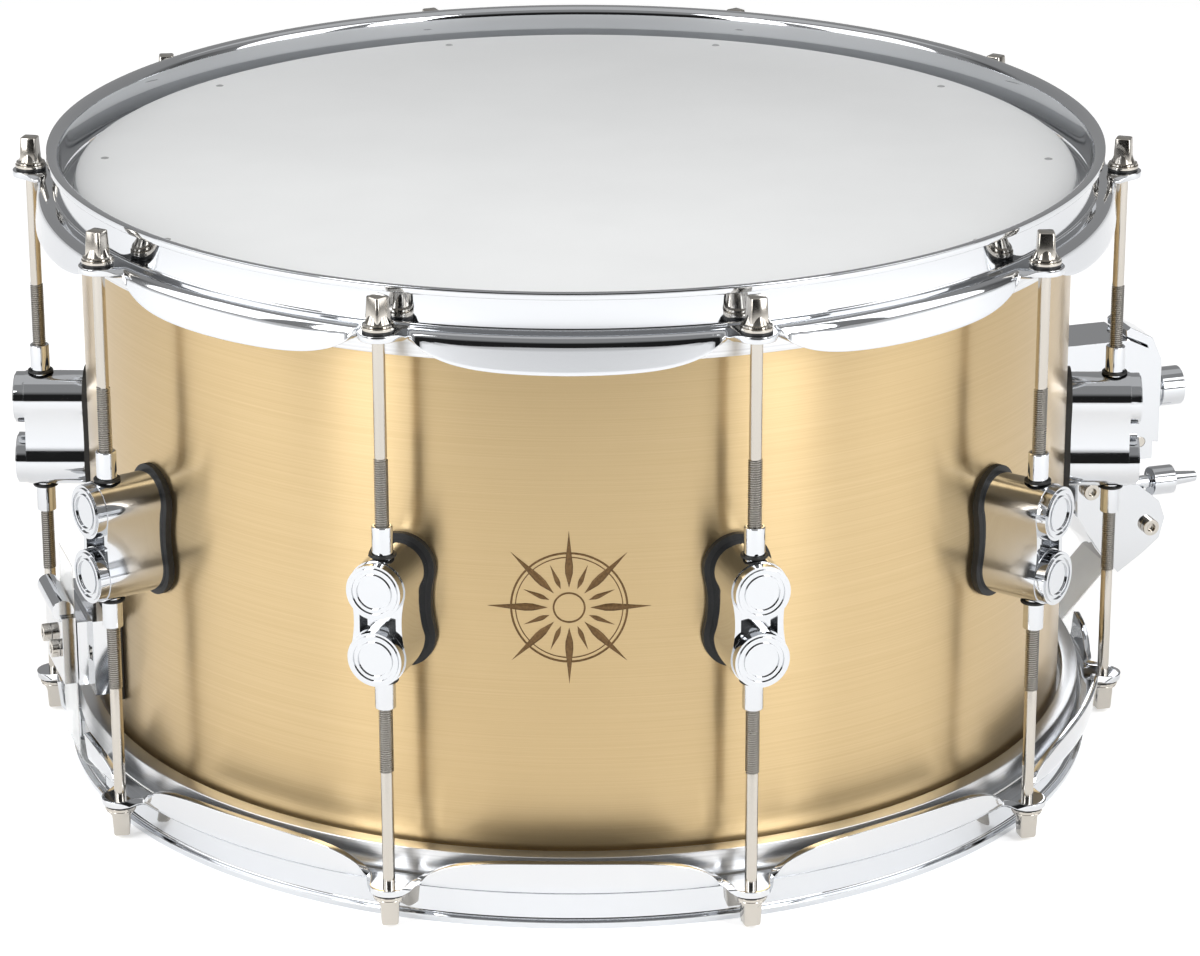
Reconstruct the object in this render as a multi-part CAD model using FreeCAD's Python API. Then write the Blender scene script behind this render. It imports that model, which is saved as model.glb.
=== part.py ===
import FreeCAD, Part
import math
import os

# Snare drum, in millimetres. Z is the drum's own axis, pointing up, and the origin is
# where that axis meets the plane of the bottom rim, which the drum rests on. The front
# of the drum faces -Y. An azimuth of 0 is the front, and 90 is the +X side.

# ---- driving dimensions -------------------------------------------------------------
SHELL_OUTER_R = 177.0        # a nominal 14 inch shell
SHELL_WALL = 3.0
SHELL_DEPTH = 203.2          # 8 inches between the bearing edges
EDGE_LAND = 1.0              # flat left on top of each bearing edge
EDGE_OUTER_CHAMFER = 0.6
SNARE_BED_DEPTH = 1.2
SNARE_BED_HALF_WIDTH = 40.0
VENT_R = 6.0
VENT_AZIMUTH = 180.0

TENSION_POINTS = 10
FIRST_LUG_AZIMUTH = 18.0
ROD_CIRCLE_R = SHELL_OUTER_R + 18.0

FLESH_INNER_R = SHELL_OUTER_R + 1.7
FLESH_OUTER_R = FLESH_INNER_R + 5.7
HOOP_STEEL = 2.3
HOOP_WALL_R = SHELL_OUTER_R + 6.0    # inner face of the hoop's upright wall
RIM_OUTER_R = HOOP_WALL_R + HOOP_STEEL + 2.5
RIM_TO_STEP = 13.3           # from the rim's end face to the step on the flesh hoop
SKIRT_TOP_R = FLESH_OUTER_R + HOOP_STEEL + 5.3
SKIRT_END_R = SKIRT_TOP_R + 1.6
SKIRT_DROP = 13.0            # from the step's outer face to the skirt's free edge
EAR_TIP_R = 6.6
EAR_ROOT_HALF_WIDTH = 12.0
SCALLOP_TOP_HALF_WIDTH = 10.0
SCALLOP_END_HALF_WIDTH = 27.0
GATE_HALF_WIDTH = 24.0       # snare gate in the bottom hoop

FILM = 0.3                   # drumhead film
HEAD_SETBACK = 9.35          # from the rim's end face to the playing face of the film
FLESH_HEIGHT = 9.0

THREAD_R = 2.4
SHANK_R = THREAD_R - 0.3
ROD_HOLE_R = THREAD_R + 0.9
THREAD_SHOWN = 23.7          # thread between the swivel nut and the smooth shank
ROD_HEAD_FLANGE_R = 5.2
ROD_HEAD_FLANGE = 1.0
ROD_HEAD_CONE = 3.0
ROD_HEAD_SQUARE = 5.6
ROD_HEAD_HEIGHT = 9.9
WASHER_OUTER_R = ROD_HEAD_FLANGE_R + 0.3
WASHER_INNER_R = THREAD_R
STEEL_WASHER = 1.0
BLACK_WASHER = 1.0

TURRET_R = 9.75
TURRET_SPACING = 2 * TURRET_R + 3.9  # between the two turrets' axes
LUG_WAIST = TURRET_R - 1.45  # half width between the turrets
LUG_BODY_R = ROD_CIRCLE_R + 5.5      # where the casting's front face is
CAP_R = TURRET_R - 0.35
CAP_OUTER_R = LUG_BODY_R + 4.1
CAP_RING_R = CAP_R - 2.1
CAP_DISH_R = CAP_RING_R - 1.7
CAP_STEP = 0.55
LUG_WALL = 2.6
LUG_POCKET_DEPTH = 9.0
GASKET = 2.0
GASKET_LIP = 2.0
NUT_R = THREAD_R + 1.1
NUT_SHOWN = 10.5             # tube of the swivel nut outside the turret
NUT_INSIDE = 9.5
RUNNING_CLEARANCE = 0.05
NUT_CLEARANCE = 0.15
O_RING_R = NUT_R + 1.1
O_RING = 0.9
CASE_SCREW_R = 2.5
CASE_SCREW_HEAD_R = 4.2
CASE_SCREW_HEAD = 2.6
CASE_SCREW_HOLE_R = CASE_SCREW_R + 0.3
CASE_SCREW_LENGTH = SHELL_WALL + GASKET + 7.0
LUG_SCREW_SPACING = TURRET_SPACING / 2 - 0.7

SNARE_AZIMUTH = 108.0        # strainer side, with the butt plate opposite
STRAND_COUNT = 20
STRAND_R = 0.95
STRAND_PITCH = 2.1
STRAND_HALF_LENGTH = SHELL_OUTER_R - 31.0
STRAND_TO_FILM = 0.4
END_PLATE_LENGTH = 14.0
END_PLATE = 0.8
STRAP = 0.4
STRAP_HALF_WIDTH = 12.5
STRAP_LAP = 6.0
SLIDE_GAP = 0.3
STRAP_SLIP = 2.8             # how far the butt strap slips down when the snares are let go

STRAINER_HALF_WIDTH = 12.0
STRAINER_BASE_Z = 44.0
STRAINER_TOP_Z = 127.0
STRAINER_FOOT = 7.0
HOUSING_OUTER_R = SHELL_OUTER_R + 47.0
HOUSING_BOTTOM_Z = 79.0
LEVER_PLATE = 3.6
LEVER_HALF_WIDTH = 9.0
LEVER_PIVOT_R = HOUSING_OUTER_R - 5.0
LEVER_PIVOT_Z = 86.0
LEVER_HUB_R = 5.6
PIVOT_PIN_R = 2.0
LEVER_KNOB_R = 7.5
LEVER_KNOB_OUTER_R = HOUSING_OUTER_R + 15.0
LEVER_KNOB_Z = 103.0
CARRIAGE_HALF_WIDTH = 16.0
STEM_HALF_WIDTH = 6.0
STEM_INNER_R = SHELL_OUTER_R + 15.0
STEM_OUTER_R = STEM_INNER_R + 14.0
STEM_TOP_Z = 104.0
CLAMP_PLATE = 3.4
CLAMP_LENGTH = 13.0
STRAP_CLAMP_R = HOUSING_OUTER_R - 6.5
STRAP_CLAMP_Z = 48.7
STRAP_RISE_ANGLE = 47.7
KEY_SCREW_R = 2.0
KEY_SCREW_HEAD_R = 3.2
KEY_SCREW_HEAD = 3.0
KNOB_Z = 65.0
KNOB_SHAFT_R = 2.5
KNOB_SHAFT_INNER_R = STEM_OUTER_R + 2.0
KNOB_R = 5.6
KNOB_INNER_R = HOUSING_OUTER_R + 5.0
KNOB_OUTER_R = KNOB_INNER_R + 9.0
KNOB_TIP_R = KNOB_OUTER_R + 10.0

BUTT_HALF_WIDTH = 22.0
BUTT_BASE_Z = 38.0
BUTT_TOP_Z = 66.0
BUTT_FOOT = 6.5
BUTT_BLOCK_HALF_WIDTH = 16.0
BUTT_STRAP_R = SHELL_OUTER_R + 13.0
BUTT_STRAP_TOP_Z = 84.0
BUTT_PLATE = 5.0

# ---- sizes that follow from them ----------------------------------------------------
TOTAL_HEIGHT = SHELL_DEPTH + 2 * (HEAD_SETBACK + FILM)
MIDDLE_Z = TOTAL_HEIGHT / 2
EDGE_Z = HEAD_SETBACK + FILM
SHELL_INNER_R = SHELL_OUTER_R - SHELL_WALL
THREAD_START_Z = MIDDLE_Z + TURRET_SPACING / 2 + TURRET_R + NUT_SHOWN + THREAD_SHOWN
NUT_OUTER_Z = MIDDLE_Z + TURRET_SPACING / 2 + TURRET_R + NUT_SHOWN
NUT_INNER_Z = MIDDLE_Z + TURRET_SPACING / 2 + TURRET_R - NUT_INSIDE
ROD_END_Z = NUT_INNER_Z + 1.5
CASTING_BACK_R = SHELL_OUTER_R + GASKET
LUG_AZIMUTHS = [FIRST_LUG_AZIMUTH + 360.0 / TENSION_POINTS * i for i in range(TENSION_POINTS)]
SNARE_TOP_Z = HEAD_SETBACK - STRAND_TO_FILM
PLATE_TOP_Z = SNARE_TOP_Z - 2 * STRAND_R
STRAP_Z = PLATE_TOP_Z - END_PLATE
BUTT_AZIMUTH = SNARE_AZIMUTH - 180.0
Z_AXIS = FreeCAD.Vector(0, 0, 1)
ORIGIN = FreeCAD.Vector(0, 0, 0)


def vec(x, y, z):
    return FreeCAD.Vector(x, y, z)


def turned(shape, azimuth):
    """A copy of a piece made at the front of the drum, moved round to an azimuth."""
    copy = shape.copy()
    copy.rotate(ORIGIN, Z_AXIS, azimuth)
    return copy


def flipped(shape):
    """A copy for the other head: turned over about the X axis at mid height."""
    copy = shape.copy()
    copy.rotate(vec(0, 0, MIDDLE_Z), vec(1, 0, 0), 180)
    return copy


def lowered(shape):
    """The same piece for the snare side, still at the front of the drum."""
    return turned(flipped(shape), 180)


def upright(radius, low, high, x=0.0, y=0.0):
    return Part.makeCylinder(radius, high - low, vec(x, y, low), Z_AXIS)


def radial(radius, inner, outer, z, x=0.0):
    """A round bar along the drum's radius at the front, from one radius to another."""
    return Part.makeCylinder(radius, outer - inner, vec(x, -inner, z), vec(0, -1, 0))


def block(half_width, inner, outer, low, high):
    return Part.makeBox(2 * half_width, outer - inner, high - low, vec(-half_width, -outer, low))


def spun(points):
    """A ring from a closed outline of (radius, z) points."""
    corners = [vec(r, 0, z) for r, z in points]
    face = Part.Face(Part.makePolygon(corners + corners[:1]))
    return face.revolve(ORIGIN, Z_AXIS, 360)


def side_plate(outline, low, high):
    """A plate lying in the radius-and-height plane, from one width to another."""
    corners = [vec(low, -r, z) for r, z in outline]
    face = Part.Face(Part.makePolygon(corners + corners[:1]))
    return face.extrude(vec(high - low, 0, 0))


def fused(pieces):
    whole = pieces[0]
    if len(pieces) > 1:
        whole = pieces[0].multiFuse(pieces[1:])
    return whole.removeSplitter()


def group(pieces):
    return Part.makeCompound(pieces)


def on_line(start, angle, distance, offset):
    """A (radius, z) point on a line that leans outwards, and off to its outer side."""
    c, s = math.cos(math.radians(angle)), math.sin(math.radians(angle))
    return (start[0] + c * distance + s * offset, start[1] + s * distance - c * offset)


# ---- shell and heads ----------------------------------------------------------------
def make_shell():
    low, high = EDGE_Z, EDGE_Z + SHELL_DEPTH
    bevel = SHELL_WALL - EDGE_LAND - EDGE_OUTER_CHAMFER
    outer, inner = SHELL_OUTER_R, SHELL_INNER_R
    shell = spun([
        (outer - EDGE_OUTER_CHAMFER, low), (outer, low + EDGE_OUTER_CHAMFER),
        (outer, high - EDGE_OUTER_CHAMFER), (outer - EDGE_OUTER_CHAMFER, high),
        (inner + bevel, high), (inner, high - bevel),
        (inner, low + bevel), (inner + bevel, low),
    ])
    bed = block(SNARE_BED_HALF_WIDTH, inner - 2, outer + 2, low - 1, low + SNARE_BED_DEPTH)
    tools = [turned(bed, azimuth) for azimuth in (SNARE_AZIMUTH, BUTT_AZIMUTH)]
    for x, z, azimuth in case_screw_places():
        tools.append(turned(radial(CASE_SCREW_HOLE_R, inner - 2, outer + 2, z, x), azimuth))
    tools.append(turned(radial(VENT_R, inner - 2, outer + 2, MIDDLE_Z), VENT_AZIMUTH))
    return shell.cut(group(tools))


def case_screw_places():
    """(x, z, azimuth) of every screw that comes through the shell from the inside."""
    places = []
    for azimuth in LUG_AZIMUTHS:
        for side in (-1, 1):
            places.append((0.0, MIDDLE_Z + side * LUG_SCREW_SPACING, azimuth))
    span = STRAINER_TOP_Z - STRAINER_BASE_Z
    for share in (0.16, 0.84):
        places.append((0.0, STRAINER_BASE_Z + share * span, SNARE_AZIMUTH))
    for side in (-1, 1):
        places.append((side * (BUTT_HALF_WIDTH - 5.0), (BUTT_BASE_Z + BUTT_TOP_Z) / 2, BUTT_AZIMUTH))
    return places


def make_case_screws():
    """Pan heads bear on the inside of the shell, and the threads go into the castings."""
    screws = []
    for x, z, azimuth in case_screw_places():
        seat = math.sqrt(SHELL_INNER_R ** 2 - (abs(x) + CASE_SCREW_HEAD_R) ** 2)
        head = radial(CASE_SCREW_HEAD_R, seat - CASE_SCREW_HEAD, seat, z, x)
        slot = block(0.5, seat - CASE_SCREW_HEAD - 1, seat - CASE_SCREW_HEAD + 1.0, z - 3.4, z + 3.4)
        slot.translate(vec(x, 0, 0))
        stem = radial(CASE_SCREW_R, seat - 0.5, seat + CASE_SCREW_LENGTH, z, x)
        screws.append(turned(fused([head, stem]).cut(slot), azimuth))
    return group(screws)


def make_vent_grommet():
    """A flanged eyelet rolled over on both sides of the shell wall."""
    lip = VENT_R + 2.6
    barrel = radial(VENT_R, SHELL_INNER_R - 1.6, SHELL_OUTER_R + 1.6, MIDDLE_Z)
    outer = radial(lip, SHELL_OUTER_R - 0.6, SHELL_OUTER_R + 1.6, MIDDLE_Z)
    inner = radial(lip, SHELL_INNER_R - 1.6, SHELL_INNER_R - 0.1, MIDDLE_Z)
    hole = radial(VENT_R - 1.2, SHELL_INNER_R - 4, SHELL_OUTER_R + 4, MIDDLE_Z)
    solid_shell = upright(SHELL_OUTER_R, 0, TOTAL_HEIGHT)
    outer = outer.cut(solid_shell)
    inner = inner.common(upright(SHELL_INNER_R, 0, TOTAL_HEIGHT))
    return turned(fused([barrel, outer, inner]).cut(hole), VENT_AZIMUTH)


def make_film():
    """The batter film: flat, rolled over the bearing edge, then down in the flesh hoop."""
    face_z = TOTAL_HEIGHT - HEAD_SETBACK
    under_z = face_z - FILM
    collar_r = FLESH_INNER_R
    turn_r = SHELL_OUTER_R - EDGE_OUTER_CHAMFER
    shoulder_r = SHELL_OUTER_R + 0.3
    top_of_flesh = TOTAL_HEIGHT - RIM_TO_STEP - HOOP_STEEL
    end_z = top_of_flesh - FLESH_HEIGHT + 2.0
    return spun([
        (0, under_z), (turn_r, under_z), (shoulder_r, under_z - 0.6),
        (collar_r - FILM, top_of_flesh), (collar_r - FILM, end_z), (collar_r, end_z),
        (collar_r, top_of_flesh), (shoulder_r + FILM, under_z - 0.4),
        (turn_r + 0.2, face_z), (0, face_z),
    ])


def make_flesh_hoop():
    top = TOTAL_HEIGHT - RIM_TO_STEP - HOOP_STEEL
    low = top - FLESH_HEIGHT
    groove = 1.2
    return spun([
        (FLESH_INNER_R, low), (FLESH_OUTER_R, low), (FLESH_OUTER_R, top),
        (FLESH_OUTER_R - groove, top), (FLESH_OUTER_R - groove, top - groove),
        (FLESH_INNER_R + groove, top - groove), (FLESH_INNER_R + groove, top),
        (FLESH_INNER_R, top),
    ])


# ---- hoops --------------------------------------------------------------------------
def scallop_side(sign, top, free):
    """One side of the arch that is cut out of the skirt under each rod hole."""
    near, far = SCALLOP_TOP_HALF_WIDTH, SCALLOP_END_HALF_WIDTH
    bend = (far - near) * 0.45
    curve = Part.BezierCurve()
    curve.setPoles([
        vec(sign * near, 0, top), vec(sign * (near + bend), 0, top),
        vec(sign * (far - bend), 0, free), vec(sign * far, 0, free),
    ])
    return curve.toShape()


def scallop_cutter():
    step = TOTAL_HEIGHT - RIM_TO_STEP
    top, free = step - HOOP_STEEL, step - SKIRT_DROP
    below = free - 5.0
    near, far = SCALLOP_TOP_HALF_WIDTH, SCALLOP_END_HALF_WIDTH
    edges = [
        Part.makeLine(vec(-near, 0, top), vec(near, 0, top)),
        scallop_side(1, top, free),
        Part.makeLine(vec(far, 0, free), vec(far, 0, below)),
        Part.makeLine(vec(far, 0, below), vec(-far, 0, below)),
        Part.makeLine(vec(-far, 0, below), vec(-far, 0, free)),
        scallop_side(-1, top, free),
    ]
    face = Part.Face(Part.Wire(Part.__sortEdges__(edges)))
    face.translate(vec(0, -(SKIRT_TOP_R - HOOP_STEEL - 4.0), 0))
    return face.extrude(vec(0, -20, 0))


def hoop_ear():
    """The tab with the rod hole, level with the hoop's step."""
    step = TOTAL_HEIGHT - RIM_TO_STEP
    low = step - HOOP_STEEL
    root = SKIRT_TOP_R - 6.0
    tip = upright(EAR_TIP_R, low, step, 0, -ROD_CIRCLE_R)
    lean = EAR_TIP_R * 0.94
    corners = [
        vec(-EAR_ROOT_HALF_WIDTH, -root, low), vec(EAR_ROOT_HALF_WIDTH, -root, low),
        vec(lean, -(ROD_CIRCLE_R + EAR_TIP_R * 0.34), low),
        vec(-lean, -(ROD_CIRCLE_R + EAR_TIP_R * 0.34), low),
    ]
    web = Part.Face(Part.makePolygon(corners + corners[:1])).extrude(vec(0, 0, HOOP_STEEL))
    return fused([tip, web])


def make_hoop():
    """The batter hoop: a rim turned outwards, an upright wall, a step and a skirt."""
    top = TOTAL_HEIGHT
    step = top - RIM_TO_STEP
    free = step - SKIRT_DROP
    t = HOOP_STEEL
    inner = HOOP_WALL_R
    roll = 0.7
    outline = [
        (inner + roll, top), (RIM_OUTER_R - roll, top), (RIM_OUTER_R, top - roll),
        (RIM_OUTER_R, top - t + roll), (RIM_OUTER_R - roll, top - t), (inner + t, top - t),
        (inner + t, step + roll), (inner + t + roll, step), (SKIRT_TOP_R - 1.2, step),
        (SKIRT_TOP_R, step - 1.4), (SKIRT_END_R, free), (SKIRT_END_R - t, free),
        (SKIRT_TOP_R - t, step - t - 0.6), (SKIRT_TOP_R - t - 0.6, step - t),
        (inner, step - t), (inner, top - roll),
    ]
    ring = spun(outline)
    cutter = scallop_cutter()
    ring = ring.cut(group([turned(cutter, azimuth) for azimuth in LUG_AZIMUTHS]))
    ears = [turned(hoop_ear(), azimuth) for azimuth in LUG_AZIMUTHS]
    bowl = upright(SKIRT_TOP_R - t - 0.6, 0, step - t)
    hole = upright(ROD_HOLE_R, free - 5, top + 5, 0, -ROD_CIRCLE_R)
    holes = group([turned(hole, azimuth) for azimuth in LUG_AZIMUTHS])
    return fused([ring] + ears).cut(bowl).cut(holes)


def make_snare_hoop():
    """The same hoop turned over, with a gate through its wall and skirt for each strap."""
    hoop = flipped(make_hoop())
    top = RIM_TO_STEP + SKIRT_DROP + 2
    gate = block(GATE_HALF_WIDTH, HOOP_WALL_R - 5, SKIRT_END_R + 5, HOOP_STEEL + 0.2, top)
    gates = group([turned(gate, azimuth) for azimuth in (SNARE_AZIMUTH, BUTT_AZIMUTH)])
    return hoop.cut(gates)


# ---- tension rods -------------------------------------------------------------------
def make_rod():
    """A batter rod at the front: square key head, flange, smooth shank and thread."""
    seat = TOTAL_HEIGHT - RIM_TO_STEP + STEEL_WASHER + BLACK_WASHER
    y = -ROD_CIRCLE_R
    flange = upright(ROD_HEAD_FLANGE_R, seat, seat + ROD_HEAD_FLANGE, 0, y)
    cone_low = seat + ROD_HEAD_FLANGE
    cone = Part.makeCone(ROD_HEAD_FLANGE_R - 0.6, ROD_HEAD_SQUARE / 2 + 0.4, ROD_HEAD_CONE,
                         vec(0, y, cone_low), Z_AXIS)
    half = ROD_HEAD_SQUARE / 2
    square = Part.makeBox(2 * half, 2 * half, ROD_HEAD_HEIGHT - ROD_HEAD_FLANGE,
                          vec(-half, y - half, cone_low))
    rounding = Part.makeCone(half * 1.45, half * 1.2, ROD_HEAD_HEIGHT - ROD_HEAD_FLANGE,
                             vec(0, y, cone_low), Z_AXIS)
    shank = upright(SHANK_R, THREAD_START_Z, seat, 0, y)
    thread = upright(THREAD_R, ROD_END_Z, THREAD_START_Z, 0, y)
    return fused([flange, cone, square.common(rounding), shank, thread])


def make_washer(low, height, outer):
    ring = upright(outer, low, low + height, 0, -ROD_CIRCLE_R)
    return ring.cut(upright(WASHER_INNER_R, low - 1, low + height + 1, 0, -ROD_CIRCLE_R))


def both_heads(piece):
    """One copy for each tension point of the batter side, then of the snare side."""
    upper = [turned(piece, azimuth) for azimuth in LUG_AZIMUTHS]
    lower = [turned(lowered(piece), azimuth) for azimuth in LUG_AZIMUTHS]
    return upper + lower


# ---- lugs ---------------------------------------------------------------------------
def peanut(grow, inner, outer):
    """The lugs' outline: two rounds joined by a hollow waist, drawn out along the radius."""
    r, waist, rise = TURRET_R, LUG_WAIST, TURRET_SPACING / 2
    hollow = (waist ** 2 - r ** 2 + rise ** 2) / (2 * (r - waist))
    centre_x = hollow + waist
    touch = r / (r + hollow)
    x, z = centre_x * touch, rise * (1 - touch)
    lean = math.atan2(z - rise, x)
    x, z = (r + grow) * math.cos(lean), rise + (r + grow) * math.sin(lean)
    y = -inner
    top, low = MIDDLE_Z + z, MIDDLE_Z - z
    edges = [
        Part.Arc(vec(x, y, top), vec(0, y, MIDDLE_Z + rise + r + grow), vec(-x, y, top)),
        Part.Arc(vec(-x, y, top), vec(-waist - grow, y, MIDDLE_Z), vec(-x, y, low)),
        Part.Arc(vec(-x, y, low), vec(0, y, MIDDLE_Z - rise - r - grow), vec(x, y, low)),
        Part.Arc(vec(x, y, low), vec(waist + grow, y, MIDDLE_Z), vec(x, y, top)),
    ]
    face = Part.Face(Part.Wire([edge.toShape() for edge in edges]))
    return face.extrude(vec(0, inner - outer, 0))


def make_lug():
    """The chrome casting: a peanut body with a stepped round cap on each turret."""
    rise = TURRET_SPACING / 2
    body = peanut(0, CASTING_BACK_R, LUG_BODY_R)
    pocket = peanut(-LUG_WALL, CASTING_BACK_R - 1, CASTING_BACK_R + LUG_POCKET_DEPTH)
    bosses = [
        radial(CASE_SCREW_HEAD_R, CASTING_BACK_R, CASTING_BACK_R + LUG_POCKET_DEPTH + 1,
               MIDDLE_Z + side * LUG_SCREW_SPACING) for side in (-1, 1)
    ]
    caps = []
    cuts = []
    reach = ROD_CIRCLE_R + CASE_SCREW_R
    for side in (-1, 1):
        z = MIDDLE_Z + side * rise
        caps.append(radial(CAP_R, LUG_BODY_R - 1, CAP_OUTER_R, z))
        ledge = radial(CAP_R + 1, CAP_OUTER_R - CAP_STEP, CAP_OUTER_R + 1, z)
        cuts.append(ledge.cut(radial(CAP_R - 1.0, CAP_OUTER_R - 2, CAP_OUTER_R + 2, z)))
        ring = radial(CAP_RING_R, CAP_OUTER_R - CAP_STEP, CAP_OUTER_R + 1, z)
        cuts.append(ring.cut(radial(CAP_DISH_R + 0.7, CAP_OUTER_R - 2, CAP_OUTER_R + 2, z)))
        cuts.append(radial(CAP_DISH_R, CAP_OUTER_R - CAP_STEP, CAP_OUTER_R + 1, z))
        screw = MIDDLE_Z + side * LUG_SCREW_SPACING
        cuts.append(radial(CASE_SCREW_R, CASTING_BACK_R - 1, CASTING_BACK_R + LUG_POCKET_DEPTH + 0.5,
                           screw))
    bore = upright(NUT_R + NUT_CLEARANCE, NUT_INNER_Z - 1.0, NUT_OUTER_Z, 0, -ROD_CIRCLE_R)
    cuts += [bore, lowered(bore)]
    notch = block(LUG_WAIST - 2.0, LUG_BODY_R - 3.5, reach + 20, MIDDLE_Z - 5.2, MIDDLE_Z + 5.2)
    keep = group([radial(TURRET_R, LUG_BODY_R - 5, LUG_BODY_R, MIDDLE_Z + side * rise)
                  for side in (-1, 1)])
    casting = fused([body.cut(pocket).cut(notch.cut(keep))] + bosses + caps)
    return casting.cut(group(cuts))


def make_lug_gasket():
    """A black rubber pad, flat to the casting and hollowed to the shell's curve."""
    pad = peanut(GASKET_LIP, SHELL_OUTER_R - 4, CASTING_BACK_R)
    pad = pad.cut(upright(SHELL_OUTER_R, 0, TOTAL_HEIGHT))
    holes = [radial(CASE_SCREW_HOLE_R, SHELL_OUTER_R - 6, CASTING_BACK_R + 1,
                    MIDDLE_Z + side * LUG_SCREW_SPACING) for side in (-1, 1)]
    return pad.cut(group(holes))


def make_swivel_nut():
    """The threaded tube that takes the rod, standing out of the turret."""
    tube = upright(NUT_R, NUT_INNER_Z, NUT_OUTER_Z, 0, -ROD_CIRCLE_R)
    bore = upright(THREAD_R + RUNNING_CLEARANCE, NUT_INNER_Z - 1, NUT_OUTER_Z + 1, 0, -ROD_CIRCLE_R)
    return tube.cut(bore)


def make_nut_o_ring():
    """A soft ring round the nut, resting on the crown of the turret."""
    seat = MIDDLE_Z + TURRET_SPACING / 2 + TURRET_R
    ring = upright(O_RING_R, seat, seat + O_RING, 0, -ROD_CIRCLE_R)
    return ring.cut(upright(NUT_R, seat - 1, seat + O_RING + 1, 0, -ROD_CIRCLE_R))


# ---- snares -------------------------------------------------------------------------
def make_strands():
    """The coiled wires, each as a plain round bar of the coil's outer size."""
    strands = []
    first = -STRAND_PITCH * (STRAND_COUNT - 1) / 2
    for i in range(STRAND_COUNT):
        start = vec(first + i * STRAND_PITCH, STRAND_HALF_LENGTH, SNARE_TOP_Z - STRAND_R)
        strands.append(Part.makeCylinder(STRAND_R, 2 * STRAND_HALF_LENGTH, start, vec(0, -1, 0)))
    return turned(group(strands), SNARE_AZIMUTH)


def make_end_plates():
    half_width = STRAND_PITCH * STRAND_COUNT / 2 + 1.0
    inner = STRAND_HALF_LENGTH - END_PLATE_LENGTH / 2
    plate = block(half_width, inner, inner + END_PLATE_LENGTH, PLATE_TOP_Z - END_PLATE, PLATE_TOP_Z)
    return group([turned(plate, azimuth) for azimuth in (SNARE_AZIMUTH, BUTT_AZIMUTH)])


def strap_from(points):
    """A strip of even thickness along (radius, z) points, offset to one side of them."""
    outer = []
    for i, point in enumerate(points):
        before = points[max(i - 1, 0)]
        after = points[min(i + 1, len(points) - 1)]
        angle = math.degrees(math.atan2(after[1] - before[1], after[0] - before[0]))
        outer.append(on_line(point, angle, 0.0, STRAP))
    return side_plate(points + outer[::-1], -STRAP_HALF_WIDTH, STRAP_HALF_WIDTH)


def strap_bend(radius_at, angle):
    """Points of the strap's turn from level, under the bearing edge, to its rising run."""
    bend_r = 7.0
    steps = 6
    turn = [angle * i / steps for i in range(steps + 1)]
    return [(radius_at + bend_r * math.sin(math.radians(a)),
             STRAP_Z + bend_r * (1 - math.cos(math.radians(a)))) for a in turn]


def strainer_strap_points():
    """Level from the end plate, round the turn, then straight up to the clamp."""
    angle = STRAP_RISE_ANGLE
    bend = strap_bend(0.0, angle)
    rise = STRAP_CLAMP_Z - bend[-1][1]
    start = STRAP_CLAMP_R - bend[-1][0] - rise / math.tan(math.radians(angle))
    points = [(STRAND_HALF_LENGTH + END_PLATE_LENGTH / 2 - STRAP_LAP, STRAP_Z)]
    points += strap_bend(start, angle)
    return points + [(STRAP_CLAMP_R, STRAP_CLAMP_Z)]


def butt_strap_points():
    """Level from the end plate, then upright through the butt clamp to a free end."""
    bend = strap_bend(0.0, 90.0)
    start = BUTT_STRAP_R - bend[-1][0]
    points = [(STRAND_HALF_LENGTH + END_PLATE_LENGTH / 2 - STRAP_LAP, STRAP_Z)]
    return points + strap_bend(start, 90.0) + [(BUTT_STRAP_R, BUTT_STRAP_TOP_Z)]


# ---- strainer -----------------------------------------------------------------------
def curved_gasket(half_width, low, high):
    pad = block(half_width, SHELL_OUTER_R - 8, CASTING_BACK_R + 2, low, high)
    pad = pad.cut(upright(SHELL_OUTER_R, 0, TOTAL_HEIGHT))
    return pad.common(upright(CASTING_BACK_R, 0, TOTAL_HEIGHT))


def drill_case_screws(shape, azimuth, radius):
    """Holes for the screws of one azimuth, in a piece that is still at the front."""
    holes = [radial(radius, SHELL_INNER_R - 5, SHELL_INNER_R + CASE_SCREW_LENGTH, z, x)
             for x, z, place in case_screw_places() if place == azimuth]
    return shape.cut(group(holes))


def make_strainer_gasket():
    pad = curved_gasket(STRAINER_HALF_WIDTH + GASKET_LIP, STRAINER_BASE_Z - GASKET_LIP,
                        STRAINER_TOP_Z + GASKET_LIP)
    return drill_case_screws(pad, SNARE_AZIMUTH, CASE_SCREW_HOLE_R)


def make_housing():
    """The fixed casting: a foot on the shell, and a body that guides the carriage."""
    foot = CASTING_BACK_R + STRAINER_FOOT
    back, outer, top = CASTING_BACK_R - 5, HOUSING_OUTER_R, STRAINER_TOP_Z
    body = side_plate([
        (back, STRAINER_BASE_Z), (foot, STRAINER_BASE_Z), (foot, HOUSING_BOTTOM_Z),
        (outer, HOUSING_BOTTOM_Z), (outer, top - 11.0), (outer - 3.0, top - 4.0),
        (outer - 11.0, top), (back, top),
    ], -STRAINER_HALF_WIDTH, STRAINER_HALF_WIDTH)
    gap = SLIDE_GAP
    slot = block(STEM_HALF_WIDTH + gap, STEM_INNER_R - gap, STEM_OUTER_R + gap,
                 HOUSING_BOTTOM_Z - 1, STEM_TOP_Z + gap)
    fork = block(LEVER_HALF_WIDTH + gap, LEVER_PIVOT_R - LEVER_HUB_R - 1.0, outer + 1,
                 HOUSING_BOTTOM_Z - 1, LEVER_PIVOT_Z + LEVER_HUB_R + 1.4)
    body = body.cut(group([upright(CASTING_BACK_R, 0, TOTAL_HEIGHT), slot, fork, pivot_bar(PIVOT_PIN_R)]))
    return drill_case_screws(body, SNARE_AZIMUTH, CASE_SCREW_R)


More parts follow.
